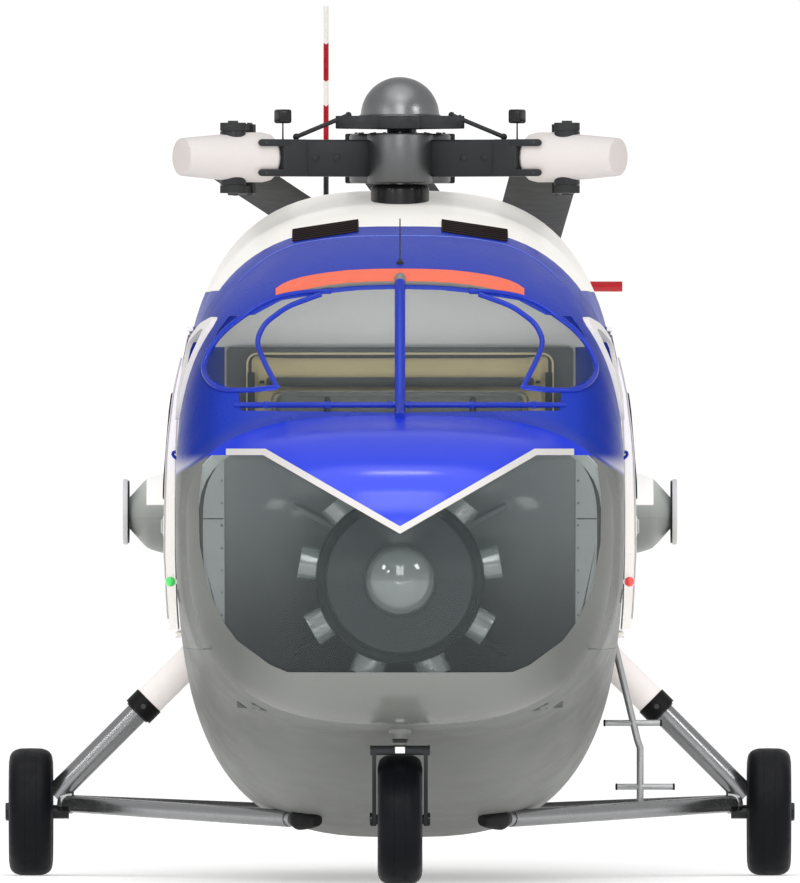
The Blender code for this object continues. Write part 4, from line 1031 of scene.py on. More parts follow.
# ---------------------------------------------------------------- windscreen frame
p = Piece("windscreen_frame")
for path in FRAME_TUBES:
    for sign in (-1, 1):
        line = []
        for point in eased([Vector(q) for q in path], 10.0, 4):
            x, z = xz(*point)
            line.append((x if sign < 0 else -x, front_y(x, z) - 0.004, z))
        p.tube(line, 0.0135, blue_paint, 12)
post = [(0.0, front_y(0.0, z) - 0.004, z) for z in [2.30 + 0.665 * k / 24 for k in range(25)]]
p.tube(post, 0.0265, blue_paint, 20)
sill = []
for k in range(33):
    x, z = xz(238 + 324 * k / 32, 405.5)
    sill.append((x, front_y(x, z) - 0.002, z))
p.tube(sill, 0.0145, blue_paint, 12)
for k in (3, 9, 15, 17, 23, 29):
    x, y, z = sill[k]
    p.box(x - 0.012, x + 0.012, y - 0.012, y + 0.022, z - 0.018, z + 0.018, blue_paint, 0.004)
p.done()

p = Piece("post_cap")
top = Vector((0.0, front_y(0.0, 2.975) - 0.006, 2.975))
d = Vector((0, 0.55, 0.83))
p.lathe([(0, -0.02), (0.0285, -0.02), (0.0285, 0.012), (0.026, 0.026), (0.019, 0.037), (0.010, 0.043), (0, 0.045)], top, d, grey_paint, 28)
p.done()

# tinted brow over the windscreen, its grey edging, and the seam above it
BROW_TOP = [(277.5, 291), (284, 286.5), (292, 283), (302, 280), (314, 277.5), (330, 275), (350, 272.8), (374, 271.8), (400, 271.4)]
BROW_LOW = [(277.5, 301), (284, 298.5), (292, 296), (302, 293.4), (314, 290.8), (330, 288), (350, 285.8), (374, 284.6), (400, 284.2)]


def strip(name, upper, lower, lift, thick, mat, rows=5, body="fuselage"):
    """A strip between two lines of the front outline, laid on the skin on both sides of the centre."""
    def row(t):
        left = []
        for a, b in zip(upper, lower):
            x, z = xz(a[0] + (b[0] - a[0]) * t, a[1] + (b[1] - a[1]) * t)
            left.append((x, z))
        return left + [(-x, z) for x, z in reversed(left) if x < -1e-9]
    grid = []
    for i in range(rows):
        line = []
        for x, z in row(i / (rows - 1)):
            y = front_y(x, z)
            line.append(Vector((x, y, z)) + skin_normal(x, y, z) * lift)
        grid.append(line)
    p = Piece(name, body)
    p.sheet(grid, lambda i, j: skin_normal(*grid[i][j]) * (lift + thick), mat)
    return p.done()


strip("brow_panel", BROW_TOP, BROW_LOW, 0.005, 0.004, brow_tint)
strip("brow_edging", [(x, z + 0.2) for x, z in BROW_LOW[3:]], [(x, z + 2.3) for x, z in BROW_LOW[3:]], 0.008, 0.004, grey_paint, 3)

# ---------------------------------------------------------------- small things on the skin
def on_skin(x, z, lift=0.0):
    y = front_y(x, z)
    return Vector((x, y, z)) + skin_normal(x, y, z) * lift


def patch(p, corners, lift, thick, mat, cols=9, rows=4):
    """A four-cornered patch of the front outline laid on the skin: top left, top right, low right, low left."""
    a, b, c, d = (Vector(q) for q in corners)
    grid = []
    for i in range(rows):
        t = i / (rows - 1)
        line = []
        for j in range(cols):
            u = j / (cols - 1)
            q = (a * (1 - u) + b * u) * (1 - t) + (d * (1 - u) + c * u) * t
            line.append(on_skin(q.x, q.y, lift))
        grid.append(line)
    p.sheet(grid, lambda i, j: skin_normal(*grid[i][j]) * thick, mat)
    return grid


p = Piece("roof_vents")
for sign in (1, -1):
    corners = [(sign * (x - MID) * -PX, (GROUND - z) * PX) for x, z in ((294, 232.3), (358.3, 222.6), (358.3, 233.6), (294, 243.3))]
    grid = patch(p, corners, 0.004, 0.008, vent_brown, 11, 7)
    for i in range(1, 6):
        p.tube([g + skin_normal(*g) * 0.003 for g in grid[i]], 0.005, vent_brown, 8)
    rim = [g for g in grid[0]] + [grid[i][-1] for i in range(1, 7)] + [g for g in reversed(grid[-1])][1:] + [grid[i][0] for i in range(5, 0, -1)]
    p.tube([g + skin_normal(*g) * 0.002 for g in rim], 0.004, vent_brown, 8, closed=True)
p.done()

p = Piece("belly_vents")
for sign in (1, -1):
    for tri in (((239.6, 696.9), (239.6, 703.9), (249.2, 703.9)), ((254.6, 698.5), (254.8, 704.6), (269.0, 706.5))):
        points = [(sign * (MID - x) * PX, (GROUND - z) * PX) for x, z in tri]
        top = [on_skin(x, z, 0.002) for x, z in points]
        low = [on_skin(x, z, -0.006) for x, z in points]
        p.add(top + low, [(0, 1, 2), (5, 4, 3), (0, 3, 4, 1), (1, 4, 5, 2), (2, 5, 3, 0)], engine_dark)
p.done()

p = Piece("roof_aerial")
foot = Vector((0.0, -1.915, top_z(0.0, -1.915)))
p.lathe([(0, -0.01), (0.018, -0.01), (0.018, 0.004), (0.009, 0.010), (0.0034, 0.022), (0.0032, 0.215), (0.0022, 0.219), (0, 0.220)],
        foot, (0, 0, 1), black_gloss, 20)
p.done()

# raised seam that crosses the blue band, painted paler blue as a highlight
p = Piece("windscreen_band_bead")
line = []
for q in eased([Vector(v) for v in ((240, 283), (262, 262), (290, 247), (330, 240), (370, 237.6), (430, 237.6), (470, 240), (510, 247), (538, 262), (560, 283))], 16.0, 5):
    x, z = xz(*q)
    line.append(on_skin(x, z, -0.0005))
p.tube(line, 0.0034, pale_blue, 8)
p.done()

# small hooks for the rotor's tie-down lines, and the position lights
for side, sign, lens in (("port", 1, red_lens), ("starboard", -1, green_lens)):
    p = Piece("tie_hook_" + side)
    x = side_x(-0.80, 2.10)
    p.tube(eased([(sign * (x - 0.010), -0.80, 2.088), (sign * (x + 0.014), -0.80, 2.104), (sign * (x + 0.024), -0.80, 2.117),
                  (sign * (x + 0.020), -0.80, 2.130), (sign * (x + 0.008), -0.80, 2.131)], 0.008, 4), 0.0078, blue_paint, 12)
    p.lathe([(0, -0.004), (0.016, -0.004), (0.016, 0.004), (0.009, 0.007), (0, 0.007)], (sign * (x - 0.002), -0.80, 2.091), (sign, 0, 0), blue_paint, 20)
    p.done()
    p = Piece("position_light_" + side)
    x = side_x(-0.86, 1.485)
    at = Vector((sign * 1.1425, -0.86, 1.485))
    p.lathe([(0, -0.026), (0.008, -0.0255), (0.016, -0.021), (0.022, -0.012), (0.0245, 0.0), (0.0245, 0.010), (0, 0.010)], at, (0, 1, 0), lens, 28)
    p.lathe([(0, 0.010), (0.0262, 0.010), (0.0262, 0.024), (0.020, 0.045), (0.010, 0.062), (0, 0.066)], at, (0, 1, 0), white_paint, 28)
    a, b = sorted((sign * (x - 0.006), sign * 1.135))
    p.box(a, b, -0.852, -0.812, 1.474, 1.496, white_paint, 0.005)
    p.done()

# fuel filler caps and small round covers on both sides: small fittings of its type
p = Piece("fuselage_fittings")
for sign in (-1, 1):
    for y, z, r in ((1.95, 2.42, 0.055), (-2.30, 1.42, 0.035)):
        x = side_x(y, z)
        p.lathe([(0, -0.004), (r, -0.004), (r, 0.003), (r * 0.9, 0.006), (r * 0.86, 0.004), (0, 0.004)], (sign * x, y, z), skin_normal(sign * x, y, z), grey_paint, 32)
        p.bolt(Vector((sign * x, y, z)) + skin_normal(sign * x, y, z) * 0.004, skin_normal(sign * x, y, z), 0.008, 0.006)
p.done()

# ---------------------------------------------------------------- doors: rails, seals, handles
DOOR_FACE = [(1.245, 1.148), (1.300, 1.160), (1.380, 1.166), (1.620, 1.178), (1.850, 1.176), (2.100, 1.168),
             (2.220, 1.158), (2.340, 1.143), (2.420, 1.133), (2.500, 1.117), (2.600, 1.093), (2.715, 1.062)]


def door_x(z):
    for (z0, x0), (z1, x1) in zip(DOOR_FACE, DOOR_FACE[1:]):
        if z <= z1:
            return x0 + (x1 - x0) * (z - z0) / (z1 - z0)
    return DOOR_FACE[-1][1]


for side, sign in (("left", 1), ("right", -1)):
    p = Piece("door_rails_" + side)
    for z0, z1, out in ((2.733, 2.757, 0.032), (1.204, 1.232, 0.034)):
        inner = side_x(0.4, 0.5 * (z0 + z1)) - 0.006
        outer = inner + out
        rows = []
        for x, z in ((inner, z0), (outer, z0), (outer, z0 + 0.009), (outer - 0.008, z0 + 0.009), (outer - 0.008, z1 - 0.009), (outer, z1 - 0.009),
                     (outer, z1), (inner, z1)):
            rows.append((sign * x, z))
        p.prism(rows, -0.66, 1.74, "y", white_paint, bevel=0.0012, segments=1)
        for k in range(9):
            y = -0.60 + 0.28 * k
            p.bolt((sign * (outer - 0.001), y, z1 - 0.0045), (sign, 0, 0), 0.0030, 0.002)
    p.done()

    body = "cabin_door_" + side
    p = Piece("door_trim_" + side, body)
    ring = []
    for y, z in rounded(-0.70 + 0.22, 0.50 - 0.22, 1.90, 2.42, 0.09, 7):
        ring.append((sign * (door_x(z) + 0.0005), y, z))
    p.tube(ring, 0.0105, black_rubber, 10, closed=True, flat=0.7)
    # handle in a shallow dish
    z = 1.76
    x = door_x(z)
    p.lathe([(0, -0.002), (0.052, -0.002), (0.052, 0.0025), (0.047, 0.0035), (0.043, 0.001), (0, 0.001)], (sign * x, -0.55, z), (sign, 0, 0), white_paint, 36)
    p.tube(eased([(sign * (x + 0.001), -0.55, z - 0.034), (sign * (x + 0.010), -0.55, z - 0.030), (sign * (x + 0.010), -0.55, z + 0.030),
                  (sign * (x + 0.001), -0.55, z + 0.034)], 0.008, 4), 0.0055, bright_steel, 12)
    # edge seal and hanger shoes that run in the rails
    edge = [(sign * (door_x(z) - 0.004), -0.7004, z) for z, _ in DOOR_FACE[1:-1]]
    p.tube(edge, 0.0045, pink_white, 8)
    for y in (-0.56, 0.36):
        a, b = sorted((sign * 1.020, sign * 1.050))
        p.box(a, b, y - 0.05, y + 0.05, 2.690, 2.729, bolt_metal, 0.003)
    p.done()

# ---------------------------------------------------------------- engine behind the nose glass
AX = Vector((0, 0, 1.505))
p = Piece("nose_engine")

p.lathe([(0, -3.346), (0.340, -3.346), (0.356, -3.343), (0.362, -3.334), (0.364, -3.305), (0, -3.305)], AX, (0, 1, 0), engine_case, 96)
p.lathe([(0.364, -3.320), (0.380, -3.318), (0.396, -3.322), (0.408, -3.318), (0.415, -3.300), (0.416, -3.12), (0.364, -3.10)], AX, (0, 1, 0), engine_dark, 96)
p.lathe([(0, -3.13), (0.34, -3.13), (0.34, -3.05), (0.30, -3.02), (0.30, -2.906), (0, -2.906)], AX, (0, 1, 0), engine_dark, 64)
p.lathe([(0, -3.506), (0.025, -3.5045), (0.05, -3.499), (0.075, -3.490), (0.098, -3.477), (0.119, -3.461), (0.137, -3.442), (0.151, -3.421), (0.161, -3.398),
         (0.167, -3.372), (0.169, -3.345), (0, -3.345)], AX, (0, 1, 0), chrome, 96)
p.lathe([(0.168, -3.352), (0.178, -3.352), (0.182, -3.349), (0.182, -3.345), (0.168, -3.345)], AX, (0, 1, 0), engine_case, 72)
for k in range(9):
    a = math.radians(90 + 40 * k)
    d = Vector((math.cos(a), 0, math.sin(a)))
    rows = [(0, 0.30), (0.0790, 0.30), (0.0805, 0.400), (0.0850, 0.495), (0.0840, 0.4990), (0.0815, 0.5005), (0, 0.5005)]
    p.lathe(rows, AX + Vector((0, -3.19, 0)), d, engine_metal, 56)
    # rod tubes between each cylinder head and the case
    t = Vector((-math.sin(a), 0, math.cos(a)))
    for s in (-1, 1):
        start = AX + d * 0.330 + t * (0.030 * s) + Vector((0, -3.135, 0))
        end = AX + d * 0.470 + t * (0.036 * s) + Vector((0, -3.115, 0))
        p.tube([start, end], 0.0085, engine_metal, 10)
for k in range(24):
    a = 2 * math.pi * k / 24
    p.bolt(AX + Vector((0.335 * math.cos(a), -3.346, 0.335 * math.sin(a))), (0, -1, 0), 0.0065, 0.005, engine_case)
p.done(30, ("engine",))

# pale side panels of the bay, beyond the firewall's edges
p = Piece("bay_side_panels")
for sign in (-1, 1):
    rows = [(sign * 0.8625, z) for z in (1.140, 2.098)]
    rows += [(sign * min(0.992, side_x(-2.905, z) - 0.072), z) for z in [2.098 - 0.958 * k / 24 for k in range(25)]]
    p.prism(rows, -2.9090, -2.9050, "y", side_panel)
    for z in (1.16, 1.80):
        p.prism([(sign * 0.868, z), (sign * 0.968, z), (sign * 0.968, z + 0.006), (sign * 0.868, z + 0.006)], -2.9115, -2.9085, "y", engine_case)
    for k in range(8):
        p.bolt((sign * 0.876, -2.9090, 1.22 + 0.11 * k), (0, -1, 0), 0.0045, 0.003, bolt_metal)
p.done()

# bearers between the engine and the firewall, seen through the glass
p = Piece("engine_bearers")
for sx in (-1, 1):
    for sz in (-1, 1):
        p.tube([(sx * 0.26, -3.08, 1.505 + sz * 0.22), (sx * 0.52, -2.912, 1.505 + sz * 0.36)], 0.016, bay_panel, 12)
        p.lathe([(0, 0), (0.04, 0), (0.04, 0.010), (0.024, 0.014), (0, 0.014)], (sx * 0.52, -2.9015, 1.505 + sz * 0.36), (0, -1, 0), bay_panel, 24)
p.done()

# ---------------------------------------------------------------- side pods
POD_Y, POD_Z = 2.24, 1.820
for side, sign, node in (("left", 1, "side_pod_l"), ("right", -1, "side_pod_r")):
    p = Piece("pod_" + side)
    rings = []
    rows = [(0.93, 0.2085), (1.100, 0.2085), (1.145, 0.2085), (1.180, 0.2060), (1.210, 0.2000), (1.240, 0.1915), (1.262, 0.1840),
            (1.280, 0.1755), (1.298, 0.1590), (1.318, 0.1375), (1.338, 0.1150), (1.356, 0.0945), (1.3700, 0.079), (1.3715, 0.076)]
    for x, az in rows:
        ay = az * 1.62
        rings.append([(sign * x, POD_Y + ay * math.cos(2 * math.pi * (k + 0.5) / 64), POD_Z + az * math.sin(2 * math.pi * (k + 0.5) / 64)) for k in range(64)])
    p.rings(rings, pod_paint)
    p.lathe([(0, 1.3690), (0.150, 1.3690), (0.1575, 1.3705), (0.1590, 1.3730), (0.1590, 1.3788), (0.1648, 1.3792), (0.1656, 1.3812), (0.1656, 1.3990),
             (0.1640, 1.4030), (0.152, 1.4040), (0.144, 1.4010), (0, 1.4010)], (0, POD_Y, POD_Z + 0.006), (sign, 0, 0), pod_paint, 80)
    for k in range(8):
        a = 2 * math.pi * k / 8
        p.bolt((sign * 1.4010, POD_Y + 0.115 * math.cos(a), POD_Z + 0.006 + 0.115 * math.sin(a)), (sign, 0, 0), 0.0065, 0.003, white_paint)
    p.done(26, (node,))

# ---------------------------------------------------------------- wheels
HALF_TYRE = [(0.1660, 0.066), (0.1700, 0.078), (0.1850, 0.090), (0.2050, 0.100), (0.2300, 0.1065), (0.2480, 0.1090), (0.2490, 0.1105),
             (0.2560, 0.1105), (0.2570, 0.1095), (0.2750, 0.1075), (0.2900, 0.1020), (0.3020, 0.0925), (0.3110, 0.0790), (0.3160, 0.0640), (0.3185, 0.0530),
             (0.3192, 0.0400), (0.3195, 0.0300), (0.3184, 0.0296), (0.3184, 0.0276), (0.3196, 0.0272), (0.3199, 0.0120), (0.3200, 0.0020)]
HALF_RIM = [(0.0362, 0.090), (0.0560, 0.092), (0.0620, 0.089), (0.0660, 0.066), (0.0740, 0.058), (0.1000, 0.052), (0.1280, 0.055), (0.1400, 0.064),
            (0.1480, 0.072), (0.1590, 0.075), (0.1648, 0.073), (0.1652, 0.064)]


def wheel(name, centre, body, tyre_node, rim_node, width=1.0):
    p = Piece(name + "_tyre", body)
    rows = [(r, -h) for r, h in HALF_TYRE] + [(r, h) for r, h in reversed(HALF_TYRE)]
    p.lathe(rows, centre, (1, 0, 0), tyre_rubber, 120)
    p.done(50, (tyre_node,))
    p = Piece(name + "_rim", body)
    rows = [(r, -h) for r, h in HALF_RIM] + [(r, h) for r, h in reversed(HALF_RIM)]
    p.lathe(rows, centre, (1, 0, 0), grey_paint, 96)
    cx, cy, cz = centre
    for s in (-1, 1):
        for k in range(8):
            a = 2 * math.pi * (k + 0.5) / 8
            p.bolt((cx + s * 0.0530, cy + 0.114 * math.cos(a), cz + 0.114 * math.sin(a)), (s, 0, 0), 0.0080, 0.010)
        for k in range(6):
            a = 2 * math.pi * k / 6
            p.bolt((cx + s * 0.0905, cy + 0.0485 * math.cos(a), cz + 0.0485 * math.sin(a)), (s, 0, 0), 0.0038, 0.004)
        p.lathe([(0.066, 0), (0.094, 0), (0.094, 0.0030), (0.066, 0.0030)], (cx + s * 0.0545, cy, cz), (s, 0, 0), bolt_metal, 48)
    p.lathe([(0, 0), (0.0032, 0), (0.0032, 0.020), (0.0042, 0.020), (0.0042, 0.030), (0, 0.030)], (cx + 0.058, cy, cz + 0.138), (1, 0, -0.2), bolt_metal, 12)
    p.done(32, (rim_node,))


wheel("main_left", (1.856, 1.05, 0.32), "main_wheel_left", "tyre_main_l", "rim_main_l")
wheel("main_right", (-1.856, 1.05, 0.32), "main_wheel_right", "tyre_main_r", "rim_main_r")
wheel("nose_wheel", (0.0, -2.51, 0.32), "nose_wheel", "tyre_nose", "rim_nose")

# axle nuts and boots of the lower ends
for side, sign in (("left", 1), ("right", -1)):
    p = Piece("gear_fittings_" + side)
    p.lathe([(0, 1.9485), (0.044, 1.9485), (0.046, 1.951), (0.046, 1.978), (0.043, 1.9845), (0.020, 1.9850), (0, 1.9850)], (0, 1.05, 0.32), (sign, 0, 0), black_gloss, 32)
    rod_end = Vector((sign * 0.55, -0.74, 0.305))
    along = (rod_end - Vector((sign * 1.69, 1.05, 0.362))).normalized()
    p.lathe([(0, -0.001), (0.047, -0.001), (0.0525, 0.003), (0.0535, 0.012), (0.0500, 0.050), (0.0440, 0.100), (0.0360, 0.145),
             (0.0300, 0.166), (0.0285, 0.173), (0.0240, 0.178), (0, 0.179)], rod_end + along * 0.087, along, black_rubber, 40)
    # scraper ring under the collar and the collar's bolts
    top, low = Vector((sign * 0.97, 1.05, 1.17)), Vector((sign * 1.74, 1.05, 0.40))
    d = (low - top).normalized()
    collar = Vector((sign * 1.29, 1.05, 0.85))
    p.lathe([(0.0575, 0.0), (0.0700, 0.0), (0.0680, 0.008), (0.0575, 0.010)], collar + d * 0.0406, d, black_gloss, 48)
    for s in (-1, 1):
        p.bolt(collar + Vector((0, s * 0.0815, 0)), (0, s, 0), 0.010, 0.008, dark_bolt)
    # torque link behind the piston
    p.tube(eased([collar + Vector((0, 0.083, 0)), collar + d * 0.22 + Vector((0, 0.150, 0)), collar + d * 0.46 + Vector((0, 0.060, 0))], 0.03, 5), 0.0095, dark_metal, 12)
    p.done(30)

# nose leg and fork details
p = Piece("nose_fork_fittings", "nose_fork_assembly")
p.box(-0.0240, 0.0240, -2.6905, -2.6635, 0.6480, 0.6795, white_paint, 0.002)
for s in (-1, 1):
    p.lathe([(0, 0.137), (0.032, 0.137), (0.034, 0.139), (0.034, 0.147), (0.030, 0.150), (0, 0.150)], (0, -2.51, 0.32), (s, 0, 0), black_gloss, 28)
    p.lathe([(0, 0.1400), (0.0265, 0.1400), (0.0265, 0.1450), (0.022, 0.1480), (0, 0.1480)], (0, -2.64, 0.662), (s, 0, 0), dark_metal, 28)
p.done()
p = Piece("nose_leg_fittings")
p.lathe([(0.0305, 0.7000), (0.038, 0.7000), (0.040, 0.7030), (0.040, 0.7150), (0.038, 0.7180), (0.0305, 0.7180)], (0, -2.64, 0), (0, 0, 1), black_gloss, 36)
p.lathe([(0.0305, 0.745), (0.052, 0.745), (0.056, 0.752), (0.060, 0.790), (0.0305, 0.790)], (0, -2.64, 0), (0, 0, 1), grey_paint, 36)
p.done()

# rung ends of the boarding step
p = Piece("step_fittings")
STEP_Y = 0.62
for px0, px1, py in ((606, 661, 724), (618, 674, 788)):
    x0, z = xz(px0, py)
    x1, _ = xz(px1, py)
    for x, s in ((x0, -1), (x1, 1)):
        p.lathe([(0, -0.001), (0.0155, -0.001), (0.0170, 0.001), (0.0170, 0.006), (0.0150, 0.009), (0, 0.010)], (x, STEP_Y, z), (s, 0, 0), black_rubber, 20)
p.done()

# ---------------------------------------------------------------- main rotor head
ARMS = (("a", 210.0), ("b", 330.0), ("c", 90.0))
PIN_R = 0.961


def spun(degrees):
    return Matrix.Rotation(math.radians(degrees), 4, "Z")


p = Piece("mast_sleeve")
p.lathe([(0, 3.32), (0.1460, 3.32), (0.1460, 3.440), (0.1445, 3.452), (0.1400, 3.460), (0.1320, 3.466), (0.12, 3.468), (0, 3.468)], (0, 0, 0), (0, 0, 1), black_gloss, 96)
p.done(30, ("mast_housing",))

p = Piece("rotor_hub_body", "main_rotor_head")
p.lathe([(0, 3.4735), (0.150, 3.4735), (0.168, 3.478), (0.172, 3.486), (0.172, 3.712), (0.168, 3.721), (0.150, 3.7248), (0, 3.7248)], (0, 0, 0), (0, 0, 1), drum_metal, 96)
p.lathe([(0, 3.72), (0.065, 3.72), (0.065, 3.7445), (0, 3.7445)], (0, 0, 0), (0, 0, 1), rotor_grey, 48)
for az in (270, 30, 150):
    c, s = math.cos(math.radians(az)), math.sin(math.radians(az))
    p.lathe([(0, 3.4738), (0.152, 3.4738), (0.164, 3.479), (0.168, 3.488), (0.168, 3.706), (0.1645, 3.7155), (0.152, 3.7212), (0, 3.7212)],
            (0.098 * c, 0.098 * s, 0), (0, 0, 1), drum_metal, 96)
    for k in range(5):
        a = math.radians(az - 70 + 35 * k)
        p.bolt((0.098 * c + 0.135 * math.cos(a), 0.098 * s + 0.135 * math.sin(a), 3.7205), (0, 0, 1), 0.0075, 0.008, dark_bolt)
p.box(-0.275, 0.275, 0.155, 0.30, 3.475, 3.7235, rotor_grey, 0.008)
for key, az in ARMS:
    m = spun(az)
    p.prism([(-0.062, 3.505), (0.062, 3.505), (0.062, 3.690), (-0.062, 3.690)], 0.12, 0.640, "x", rotor_grey, bevel=0.014, segments=3, matrix=m)
    p.prism([(-0.130, 3.505), (0.130, 3.505), (0.130, 3.690), (-0.130, 3.690)], 0.604, 0.7435, "x", rotor_grey, bevel=0.010, segments=3, matrix=m)
    for t in (-1, 1):
        for z0, z1 in ((3.655, 3.690), (3.505, 3.540)):
            zm = 0.5 * (z0 + z1)
            y0, y1 = min(t * 0.1142, t * 0.1302), max(t * 0.1142, t * 0.1302)
            rows = [(0.70, z0), (0.866, z0), (0.876, z0 + 0.004), (0.884, zm - 0.002), (0.884, zm + 0.002), (0.876, z1 - 0.004), (0.866, z1), (0.70, z1)]
            p.rings([[(x, y0, z) for x, z in rows], [(x, y1, z) for x, z in rows]], rotor_grey, bevel=0.002, segments=2, matrix=m)
            p.lathe([(0, 0.130), (0.0080, 0.130), (0.0080, 0.1335), (0.0062, 0.1350), (0, 0.1350)], (0.845, 0, zm), (0, t, 0), dark_bolt, 6, matrix=m)
    for s in (-1, 1):
        for r in (0.40, 0.52):
            p.lathe([(0, 0.060), (0.020, 0.060), (0.020, 0.064), (0.012, 0.068), (0, 0.068)], (r, 0, 3.5975), (0, s, 0), rotor_grey, 20, matrix=m)
    p.lathe([(0, 3.688), (0.0052, 3.688), (0.0042, 3.70), (0.0036, 3.776), (0, 3.776)], (0.675, 0, 0), (0, 0, 1), rotor_grey, 12, matrix=m)
    p.prism([(-0.0350, 3.770), (0.0350, 3.770), (0.0350, 3.840), (-0.0350, 3.840)], 0.640, 0.710, "x", black_gloss, bevel=0.012, segments=4, matrix=m)
p.done(32, ("rotor_hub",))

# head plate, its lobes over the arms, the dome and the damper struts
p = Piece("rotor_head_dome", "main_rotor_head")
outline = []
for k in range(180):
    a = 2 * k
    near = min(abs((a - az + 180) % 360 - 180) for _, az in ARMS)
    r = 0.215 + 0.157 * max(0.0, 1 - near / 34) ** 0.8
    outline.append((r * math.cos(math.radians(a)), r * math.sin(math.radians(a))))
p.prism(outline, 3.7450, 3.8095, "z", rotor_grey, bevel=0.004, segments=2)
dome = [(0, 3.805), (0.2040, 3.805), (0.2050, 3.8140), (0.2000, 3.8170), (0.1970, 3.8190)]
dome += [(0.1970 * math.cos(math.radians(a)), 3.8090 + 0.1960 * math.sin(math.radians(a))) for a in range(6, 90, 4)] + [(0, 4.0050)]
p.lathe(dome, (0, 0, 0), (0, 0, 1), dome_metal, 128)
for key, az in ARMS:
    m = spun(az)
    p.tube([(0.296, 0, 3.8140), (0.604, 0, 3.7010)], 0.0115, rotor_grey, 16, matrix=m)
    p.lathe([(0, -0.012), (0.010, -0.011), (0.0155, -0.004), (0.0155, 0.006), (0.010, 0.013), (0, 0.014)], (0.296, 0, 3.8145), (0.938, 0, -0.346), rotor_grey, 20, matrix=m)
    p.lathe([(0, -0.016), (0.013, -0.014), (0.0165, -0.006), (0.0165, 0.004), (0.010, 0.012), (0, 0.012)], (0.600, 0, 3.7030), (0.938, 0, -0.346), rotor_grey, 20, matrix=m)
    for s in (-1, 1):
        p.bolt((0.300, 0.030 * s, 3.8090), (0, 0, 1), 0.0075, 0.007, dark_bolt)
p.done(30, ("rotor_head",))

# dark sleeves round the fold pins, nuts and the rounded ends of the cuffs
p = Piece("fold_pin_fittings", "main_rotor_head")
for key, az in ARMS:
    m = spun(az)
    p.lathe([(0, 3.650), (0.0640, 3.650), (0.0645, 3.7240), (0.0625, 3.7300), (0.058, 3.7313), (0, 3.7313)], (PIN_R, 0, 0), (0, 0, 1), rotor_grey, 48, matrix=m)
    p.lathe([(0, 3.4608), (0.058, 3.4608), (0.0625, 3.4620), (0.0645, 3.4680), (0.0640, 3.545), (0, 3.545)], (PIN_R, 0, 0), (0, 0, 1), rotor_grey, 48, matrix=m)

    p.lathe([(0, 0.0), (0.0300, 0.0), (0.0300, 0.008), (0.0270, 0.0105), (0, 0.0105)], (PIN_R, 0, 3.7718), (0, 0, 1), dark_bolt, 6, matrix=m)
    p.lathe([(0, 0.0), (0.0300, 0.0), (0.0300, 0.008), (0.0270, 0.0105), (0, 0.0105)], (PIN_R, 0, 3.4202), (0, 0, -1), dark_bolt, 6, matrix=m)
    p.lathe([(0, 1.2500), (0.0935, 1.2500), (0.0945, 1.2540), (0.0925, 1.2570), (0.0850, 1.2585), (0, 1.2585)], (0, 0, 3.60), (1, 0, 0), end_white, 64, matrix=m)
p.done(30)

# root fittings of the folded blades: places along each blade from its pin
FOLD = {"a": 83.5, "b": 91.0, "c": 86.8}
for key, az in ARMS:
    at = Vector((PIN_R * math.cos(math.radians(az)), PIN_R * math.sin(math.radians(az)), 0))
    m = Matrix.Translation(at) @ spun(FOLD[key])
    p = Piece("blade_root_" + key, "rotor_blade_" + key)
    for s, z in ((1, 3.768), (-1, 3.425)):
        p.prism([(0.085, -0.040), (0.60, -0.046), (0.66, -0.020), (0.66, 0.030), (0.60, 0.056), (0.085, 0.040)],
                min(z, z + s * 0.006), max(z, z + s * 0.006), "z", dark_metal, bevel=0.0015, segments=1, matrix=m) if s < 0 else None
        for x in (0.395, 0.435, 0.475):
            for y in (-0.032, 0.042):
                p.lathe([(0, 0), (0.0105, 0), (0.0105, 0.006), (0.0085, 0.008), (0, 0.008)], (x, y, z + (0 if s > 0 else -0.006)), (0, 0, s), dark_bolt, 6, matrix=m)
        p.lathe([(0.0640, 0.0), (0.0640, 0.0022), (0.0400, 0.0022), (0.0400, 0.0)], (0, 0, z + s * 0.0020), (0, 0, s), dark_metal, 48, matrix=m)
    p.done(30)

# ---------------------------------------------------------------- tail rotor hub and gearbox cover
p = Piece("tail_rotor_fittings", "tail_rotor_assembly")
HUB = Vector((-0.39, 9.46, 3.15))
p.lathe([(0, -0.078), (0.018, -0.078), (0.026, -0.072), (0.030, -0.062), (0, -0.062)], HUB, (1, 0, 0), bright_steel, 28)
for k in range(3):
    a = math.radians(90 + 120 * k)
    d = Vector((0, math.cos(a), math.sin(a)))
    p.lathe([(0, 0.05), (0.034, 0.05), (0.036, 0.07), (0.034, 0.19), (0.026, 0.215), (0, 0.215)], HUB, d, dark_metal, 24)
    p.bolt(HUB + d * 0.13 + Vector((-0.033, 0, 0)), (-1, 0, 0), 0.010, 0.008)
p.done(30)
p = Piece("tail_gearbox_cover")
p.lathe([(0, -0.3005), (0.104, -0.3005), (0.114, -0.294), (0.116, -0.282), (0.116, -0.150), (0.124, -0.142), (0.124, -0.118), (0.110, -0.112), (0, -0.112)],
        (0, 9.46, 3.15), (1, 0, 0), grey_paint, 56)
for k in range(10):
    a = 2 * math.pi * k / 10
    p.bolt((-0.142, 9.46 + 0.1185 * math.cos(a), 3.15 + 0.1185 * math.sin(a)), (-1, 0, 0), 0.0045, 0.006)
p.done(30)

